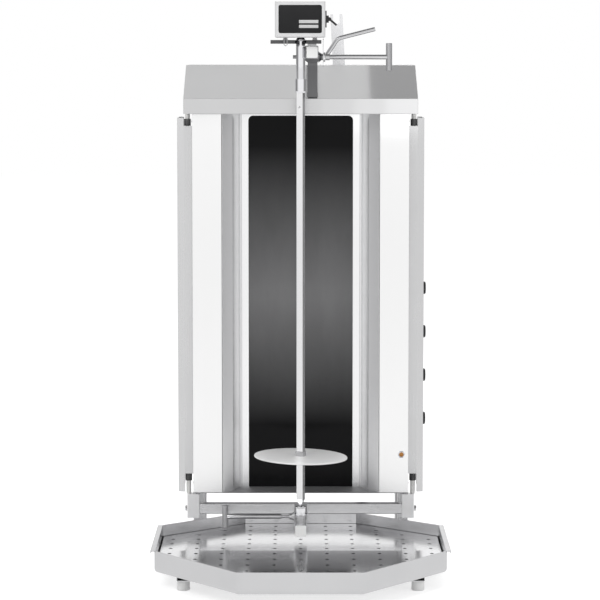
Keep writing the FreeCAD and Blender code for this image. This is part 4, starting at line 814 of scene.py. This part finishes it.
# %% Turn the drive tube and its collar
SHAFT_RADIUS, BORE_RADIUS, BORE_DEPTH = 5.0 * MM, 5.1 * MM, 0.028
COLLAR_FIT = 0.01 * MM
COLLAR_TAPER = 0.72
drive_low, drive_high = box_of("drive_tube")
drive_collar_low, drive_collar_high = box_of("drive_collar")
axis_x, axis_y = ((drive_low + drive_high) / 2)[:2]
tube_radius = (drive_high[0] - drive_low[0]) / 2
tube_top = drive_collar_low[2] - drive_low[2]
shaft_top = drive_high[2] - drive_low[2]
tube_profile = rounded_profile([
    (BORE_RADIUS, BORE_DEPTH), (BORE_RADIUS, 0.0), (tube_radius, 0.0), (tube_radius, tube_top),
    (SHAFT_RADIUS, tube_top), (SHAFT_RADIUS, shaft_top), (0, shaft_top)], 0.5 * MM)
drive = add_mesh("drive_tube_turned", *turned(tube_profile, (axis_x, axis_y, drive_low[2]), (0, 0, 1), 96))
finished(drive, "chrome", "drive", ["drive_tube"])
collar_radius = (drive_collar_high[0] - drive_collar_low[0]) / 2
collar_height = drive_collar_high[2] - drive_collar_low[2]
collar_profile = rounded_profile([
    (SHAFT_RADIUS + COLLAR_FIT, 0), (collar_radius, 0), (collar_radius * COLLAR_TAPER, collar_height),
    (SHAFT_RADIUS + COLLAR_FIT, collar_height)], 0.4 * MM)
collar_base = (axis_x, axis_y, drive_collar_low[2])
collar = add_mesh("drive_collar_turned", *turned(collar_profile, collar_base, (0, 0, 1), 64))
finished(collar, "black", "drive", ["drive_collar"])
print("drive radius", tube_radius)

# %% [markdown]
# A foot is a plain white plastic puck under the rail, a little narrower at its top. All four are turned
# from one short profile and joined as one piece, as in the solids.

# %% Turn the feet
FOOT_RADIUS, FOOT_BEVEL, FOOT_TAPER = 12.0 * MM, 1.4 * MM, 1.0 * MM
foot_low, foot_high = box_of("levelling_feet")
foot_top = foot_high[2]
foot_profile = rounded_profile([
    (0, 0), (FOOT_RADIUS - FOOT_BEVEL, 0), (FOOT_RADIUS, FOOT_BEVEL), (FOOT_RADIUS - FOOT_TAPER, foot_top),
    (0, foot_top)], 0.8 * MM)
feet = [turned(foot_profile, (x, y, 0), (0, 0, 1), 48)
        for x in (foot_low[0] + FOOT_RADIUS, foot_high[0] - FOOT_RADIUS)
        for y in (foot_low[1] + FOOT_RADIUS, foot_high[1] - FOOT_RADIUS)]
feet_piece = add_mesh("levelling_feet_turned", *join_shapes(feet))
finished(feet_piece, "white", "stand", ["levelling_feet"])
print("feet", len(feet))

# %% [markdown]
# The disc that carries the meat is a flat round plate with a square hole for the spit, and it leans
# a little. Its faces are rings that pass from the square hole to the round rim: each ring is a blend
# of the square's outline and a circle. Its middle and radius are read from the solid's own box. It
# turns with the square bar, so it has the bar's turn.

# %% Cut the disc
DISC_LEAN = math.radians(1.6)
DISC_STEPS = 120
DISC_HALF = 1.5 * MM
HOLE_HALF = 6.5 * MM
# Each ring has its share of the way from the hole to the rim, and its height in half thicknesses.
DISC_RINGS = ((0.0, -1), (0.0, 1), (0.06, 1), (0.5, 1), (0.985, 1), (0.996, 0.8), (1.0, 0.4), (1.0, -0.4),
              (0.996, -0.8), (0.985, -1), (0.5, -1), (0.06, -1))
disc_low, disc_high = box_of("meat_disc")
disc_middle = (disc_low + disc_high) / 2
disc_radius = (disc_high[1] - disc_low[1]) / 2
angle = np.linspace(0, 2 * np.pi, DISC_STEPS, endpoint=False)
circle = np.stack([np.cos(angle), np.sin(angle)], axis=1)
square = circle / np.abs(circle).max(axis=1, keepdims=True) * HOLE_HALF
rings = []
for share, z in DISC_RINGS:
    flat = square * (1 - share) + circle * disc_radius * share
    rings.append(np.column_stack([flat, np.full(DISC_STEPS, z * DISC_HALF)]))
faces = list(map(tuple, grid_faces(len(rings), DISC_STEPS)[:, ::-1]))
here = np.arange(DISC_STEPS)
following = (here + 1) % DISC_STEPS
last = (len(rings) - 1) * DISC_STEPS
faces += list(map(tuple, np.column_stack([here, following, last + following, last + here])))
cos_turn, sin_turn = math.cos(BAR_TURN), math.sin(BAR_TURN)
cos_lean, sin_lean = math.cos(DISC_LEAN), math.sin(DISC_LEAN)
turn_matrix = np.array([[cos_turn, -sin_turn, 0], [sin_turn, cos_turn, 0], [0, 0, 1]])
lean_matrix = np.array([[cos_lean, 0, sin_lean], [0, 1, 0], [-sin_lean, 0, cos_lean]])
points = np.vstack(rings) @ turn_matrix.T @ lean_matrix.T + disc_middle
finished(add_mesh("meat_disc_cut", points, faces, 30), "disc", "meat_disc", ["meat_disc"])
print("disc radius", disc_radius, "middle", disc_middle)

# %% [markdown]
# Each clamp screw has a thread near its tip, a smooth rod and a cross bar to turn it by. The thread is
# a turned surface whose radius rises and falls along a helix: the height in pitches, less the share
# of a turn, gives the place on the tooth.

# %% Turn the clamp screws
THREAD_PITCH, THREAD_DEPTH = 1.25 * MM, 0.55 * MM
RINGS_PER_PITCH = 8
SCREW_RADIUS, ROD_RADIUS = 3.3 * MM, 4.6 * MM
ROD_OVERLAP, ROD_ROUNDING, BAR_ROUNDING = 0.5 * MM, 0.6 * MM, 1.4 * MM
UPPER_THREAD_PAST_LEVER, LOWER_THREAD_PAST_SOCKET = 8.3 * MM, 16.0 * MM


def threaded(radius, height, angle):
    """The radius less a tooth that climbs by one pitch in each turn."""
    place = height / THREAD_PITCH - angle / (2 * np.pi)
    tooth = np.abs((place % 1.0) - 0.5) * 2
    return radius - THREAD_DEPTH * tooth


def clamp_screw(name, body, thread_length, way):
    """A clamp screw in the place of its solid: thread and rod as one piece, and the cross bar."""
    low, high = box_of(name)
    y, z = (low[1] + high[1]) / 2, (low[2] + high[2]) / 2
    bar_radius, bar_half = (high[1] - low[1]) / 2, (high[2] - low[2]) / 2
    tip_x, far_x = (low[0], high[0]) if way > 0 else (high[0], low[0])
    bar_x = far_x - way * bar_radius
    length = abs(bar_x - tip_x)
    heights = np.arange(0.0, thread_length, THREAD_PITCH / RINGS_PER_PITCH)
    profile = np.column_stack([np.full(len(heights), SCREW_RADIUS), heights])
    profile = np.vstack([[0, 0], profile, [0, heights[-1]]])
    thread = turned(profile, (tip_x, y, z), (way, 0, 0), 40, threaded)
    rod_start = heights[-1] - ROD_OVERLAP
    rod_profile = rounded_profile([
        (0, rod_start), (ROD_RADIUS, rod_start), (ROD_RADIUS, length), (0, length)], ROD_ROUNDING)
    rod = turned(rod_profile, (tip_x, y, z), (way, 0, 0), 48)
    bar_profile = rounded_profile([
        (0, -bar_half), (bar_radius, -bar_half), (bar_radius, bar_half), (0, bar_half)], BAR_ROUNDING, 5)
    bar = add_mesh(name + "_cross_bar", *turned(bar_profile, (bar_x, y, z), (0, 0, 1), 56), 50)
    finished(bar, "bar", body)
    piece = add_mesh(name + "_turned", *join_shapes([thread, rod]), 50)
    finished(piece, "lever", body, [name])


upper_length = box_of("clamp_lever")[0][0] + UPPER_THREAD_PAST_LEVER - box_of("upper_clamp_screw")[0][0]
clamp_screw("upper_clamp_screw", "upper_screw", upper_length, 1)
lower_length = box_of("lower_clamp_screw")[1][0] - box_of("lower_socket")[0][0] + LOWER_THREAD_PAST_SOCKET
clamp_screw("lower_clamp_screw", "lower_screw", lower_length, -1)
print("clamp screws turned")

# %% [markdown]
# The front of the drive housing carries a dark plate with two blank pale fields. All three are thin
# slabs with rounded corners: the outline is a rounded rectangle, four quarter circles about its four
# corner centres, and the slab is that outline carried up the wall and in over a soft edge.

# %% Fix the plate on the drive housing
LEAST_CORNER = 0.1 * MM


def slab_outline(half_wide, half_high, corner, steps=8):
    """Points of a rounded rectangle: each corner centre plus the corner radius times (cos, sin)."""
    turns = np.linspace(0, np.pi / 2, steps)
    quarters = []
    for i, (sx, sy) in enumerate(((1, 1), (-1, 1), (-1, -1), (1, -1))):
        a = turns + i * np.pi / 2
        centre = np.array([sx * (half_wide - corner), sy * (half_high - corner)])
        quarters.append(centre + corner * np.column_stack([np.cos(a), np.sin(a)]))
    return np.vstack(quarters)


def slab(centre, right, up, half_wide, half_high, thick, corner, edge):
    """A slab that stands off a face: rings of its outline, the last ones drawn in by the soft edge."""
    right, up = np.asarray(right, float), np.asarray(up, float)
    out = np.cross(right, up)
    rings = []
    for inset, height in ((0, 0), (0, thick - edge), (edge * 0.3, thick - edge * 0.3), (edge, thick)):
        flat = slab_outline(half_wide - inset, half_high - inset, max(corner - inset, LEAST_CORNER))
        rings.append(flat[:, :1] * right + flat[:, 1:] * up + out * height + np.asarray(centre, float))
    count = len(rings[0])
    faces = list(map(tuple, grid_faces(len(rings), count)))
    last = (len(rings) - 1) * count
    faces.append(tuple(range(last, last + count)))
    faces.append(tuple(range(count))[::-1])
    return outward(np.vstack(rings), faces)


FRONT = ((1, 0, 0), (0, 0, 1))
PLATE_HALF_WIDE, PLATE_HALF_HIGH, PLATE_THICK = 38.6 * MM, 25.0 * MM, 0.6 * MM
PLATE_X, PLATE_Z = -0.9 * MM, 1018.7 * MM
FIELD_X, FIELD_HALF_WIDE, FIELD_THICK = 14.2 * MM, 17.2 * MM, 0.2 * MM
FIELD_HEIGHTS = ((1011.2 * MM, 1017.0 * MM), (1002.8 * MM, 1008.3 * MM))
housing_low = box_of("motor_housing")[0]
plate = slab((PLATE_X, housing_low[1], PLATE_Z), *FRONT, PLATE_HALF_WIDE, PLATE_HALF_HIGH, PLATE_THICK,
             3.5 * MM, 0.2 * MM)
finished(add_mesh("housing_plate", *plate, 30), "label", "upper_arm")
fields = []
for low_z, high_z in FIELD_HEIGHTS:
    middle = (FIELD_X, housing_low[1] - PLATE_THICK, (low_z + high_z) / 2)
    fields.append(slab(middle, *FRONT, FIELD_HALF_WIDE, (high_z - low_z) / 2, FIELD_THICK,
                       0.6 * MM, 0.08 * MM))
finished(add_mesh("housing_plate_fields", *join_shapes(fields), 30), "field", "upper_arm")
print("plate on the housing")

# %% [markdown]
# A bent wire clip hangs from the motor plate. A wire is a circle carried along a path: at each point
# of the path the circle stands square to the way the path runs, worked out from its neighbours.

# %% Bend the wire clip
def swept(path, radius, sides=14):
    """A tube with closed ends, for a path that doesn't start along y.

    Ring i is path[i] + radius * (a cos t + b sin t), with a and b square to the path.
    """
    path = np.asarray(path, float)
    way = np.gradient(path, axis=0)
    way /= np.linalg.norm(way, axis=1)[:, None]
    normal = np.cross(way[0], (0.0, 1.0, 0.0))
    normals = []
    for w in way:
        normal = normal - w * normal.dot(w)
        normal = normal / np.linalg.norm(normal)
        normals.append(normal)
    normals = np.array(normals)
    other = np.cross(way, normals)
    t = np.linspace(0, 2 * np.pi, sides, endpoint=False)
    rings = (path[:, None, :] + radius * (normals[:, None, :] * np.cos(t)[None, :, None]
                                          + other[:, None, :] * np.sin(t)[None, :, None]))
    points = rings.reshape(-1, 3)
    faces = list(map(tuple, grid_faces(len(path), sides)))
    last = (len(path) - 1) * sides
    faces.append(tuple(range(sides))[::-1])
    faces.append(tuple(range(last, last + sides)))
    return outward(points, faces)


CLIP_X, CLIP_HALF_GAP, WIRE_RADIUS = -27.0 * MM, 2.7 * MM, 0.8 * MM
CLIP_IN_FRONT, CLIP_TOP_RISE, BEND_Z = 1.0 * MM, 3.0 * MM, 974.0 * MM
BEND_POINTS, LEG_POINTS = 13, 8
clip_y = box_of("motor_plate")[0][1] - CLIP_IN_FRONT
bend = np.linspace(0, np.pi, BEND_POINTS)
leg_z = np.linspace(housing_low[2] + CLIP_TOP_RISE, BEND_Z, LEG_POINTS)
down = np.column_stack([np.full(LEG_POINTS, CLIP_X - CLIP_HALF_GAP), np.full(LEG_POINTS, clip_y), leg_z])
turn = np.column_stack([CLIP_X - CLIP_HALF_GAP * np.cos(bend), np.full(BEND_POINTS, clip_y),
                        BEND_Z - CLIP_HALF_GAP * np.sin(bend)])
up = down[::-1] + np.array([2 * CLIP_HALF_GAP, 0, 0])
clip = add_mesh("wire_clip", *swept(np.vstack([down, turn[1:-1], up]), WIRE_RADIUS), 50)
finished(clip, "lever", "upper_arm")
print("wire clip bent")

# %% [markdown]
# Each hole in the drip tray's plate was punched, so its rim is drawn down; the rim is painted dark, as
# painted shade inside the hole. The holes lie on a square pattern, and a rim is made where the plate's own
# mesh has a hole's corners. A rim is one small ring surface, and all of them are one piece.

# %% Ring the plate's holes
PITCH_X, PITCH_Y, FIRST_Y, HOLE_RADIUS = 48.0 * MM, 41.5 * MM, 183.0 * MM, 3.0 * MM
COLUMNS, ROWS = np.arange(-5, 6), np.arange(0, 13)
LEAST_CORNERS = 8
RIM_SIDES = 12
# Radius and height of each ring of a rim, in millimetres.
RIM_PROFILE = ((2.75, -0.5), (2.8, 0.06), (3.2, 0.14), (3.55, 0.1), (3.6, 0.0))
sheet_mesh = nodes["perforated_plate"].data
corners = np.empty(len(sheet_mesh.vertices) * 3)
sheet_mesh.vertices.foreach_get("co", corners)
corners = corners.reshape(-1, 3)
columns, rows = np.meshgrid(COLUMNS, ROWS, indexing="ij")
lattice = np.column_stack([columns.ravel() * PITCH_X, FIRST_Y - rows.ravel() * PITCH_Y])
away = np.linalg.norm(corners[None, :, :2] - lattice[:, None, :], axis=2)
rims = []
t = np.linspace(0, 2 * np.pi, RIM_SIDES, endpoint=False)
for place, near in zip(lattice, away < HOLE_RADIUS * 1.1):
    if near.sum() < LEAST_CORNERS:
        continue
    around = corners[near]
    top = around[around[:, 2] > around[:, 2].mean()]
    fall = np.polyfit(top[:, 1], top[:, 2], 1)
    rings = []
    for radius, height in RIM_PROFILE:
        x, y = place[0] + radius * MM * np.cos(t), place[1] + radius * MM * np.sin(t)
        rings.append(np.column_stack([x, y, np.polyval(fall, y) + height * MM]))
    rims.append((np.vstack(rings), list(map(tuple, grid_faces(len(rings), RIM_SIDES)[:, ::-1]))))
finished(add_mesh("plate_hole_rims", *join_shapes(rims), 60), "rim_shade", "perforated_plate")
print("holes ringed", len(rims))

# %% [markdown]
# A short square collar stands on the disc and guides it along the spit. It is a square ring: its four
# corners, outer and inner, are carried up, with the top edges drawn in a little.

# %% Stand the collar on the disc
def square_ring(middle, turn, outer, inner, low_z, high_z, edge):
    """Rings of eight corner points: half width times (sign, sign), turned about the upright axis."""
    signs = np.array([(1, 1), (-1, 1), (-1, -1), (1, -1)], float)
    spin = np.array([[math.cos(turn), -math.sin(turn)], [math.sin(turn), math.cos(turn)]])
    rings = []
    for half, z in ((inner, low_z), (outer, low_z), (outer, high_z - edge), (outer - edge, high_z),
                    (inner, high_z)):
        flat = signs * half @ spin.T + np.asarray(middle)
        rings.append(np.column_stack([flat, np.full(4, z)]))
    rings.append(rings[0])
    return outward(np.vstack(rings), list(map(tuple, grid_faces(len(rings), 4))))


GUIDE_OUTER, GUIDE_INNER, GUIDE_HEIGHT = 7.6 * MM, 6.3 * MM, 9.0 * MM
GUIDE_START, GUIDE_EDGE = 1.0 * MM, 0.5 * MM
spit_y = (spit_low[1] + spit_high[1]) / 2
guide_low = disc_middle[2] + GUIDE_START
guide = square_ring((0.0, spit_y), BAR_TURN, GUIDE_OUTER, GUIDE_INNER, guide_low, guide_low + GUIDE_HEIGHT,
                    GUIDE_EDGE)
finished(add_mesh("disc_collar", *guide, 30), "bar", "meat_disc")
print("collar on the disc")

# %% [markdown]
# Small fasteners finish the sheet work: pan heads on the back and the sides. A head is turned from a
# low dome with a small socket in its middle.

# %% Fit the small screws
HEAD_RADIUS, HEAD_SEAT = 3.2 * MM, 0.2 * MM
BACK_SCREW_X, BACK_SCREW_INSET = (-0.190, -0.065, 0.065, 0.190), 9 * MM
SIDE_SCREW_Y, SIDE_SCREW_INSET = (0.110, 0.300), 14 * MM
# Radius and height along the head, from its edge to its socket, in head radii.
HEAD_PROFILE = ((0, 0), (1, 0), (0.94, 0.28), (0.72, 0.52), (0.40, 0.62), (0.34, 0.30), (0, 0.30))


def pan_head(place, way):
    """A low dome with a socket, turned about its own axis."""
    profile = rounded_profile(np.array(HEAD_PROFILE) * HEAD_RADIUS, 0.15 * HEAD_RADIUS, 3)
    return turned(profile, place, way, 24)


back_low, back_high = box_of("back_panel")
side_low, side_high = box_of("side_panel_right")
back_y = box_of("housing_floor")[1][1] - HEAD_SEAT
heads = [pan_head((x, back_y, z), (0, 1, 0)) for x in BACK_SCREW_X
         for z in (back_low[2] + BACK_SCREW_INSET, back_high[2] - BACK_SCREW_INSET)]
heads += [pan_head((side * side_high[0], y, z), (side, 0, 0)) for side in (-1, 1) for y in SIDE_SCREW_Y
          for z in (side_low[2] + SIDE_SCREW_INSET, side_high[2] - SIDE_SCREW_INSET)]
finished(add_mesh("sheet_screws", *join_shapes(heads), 40), "zinc", "stand")
print("screws", len(heads))
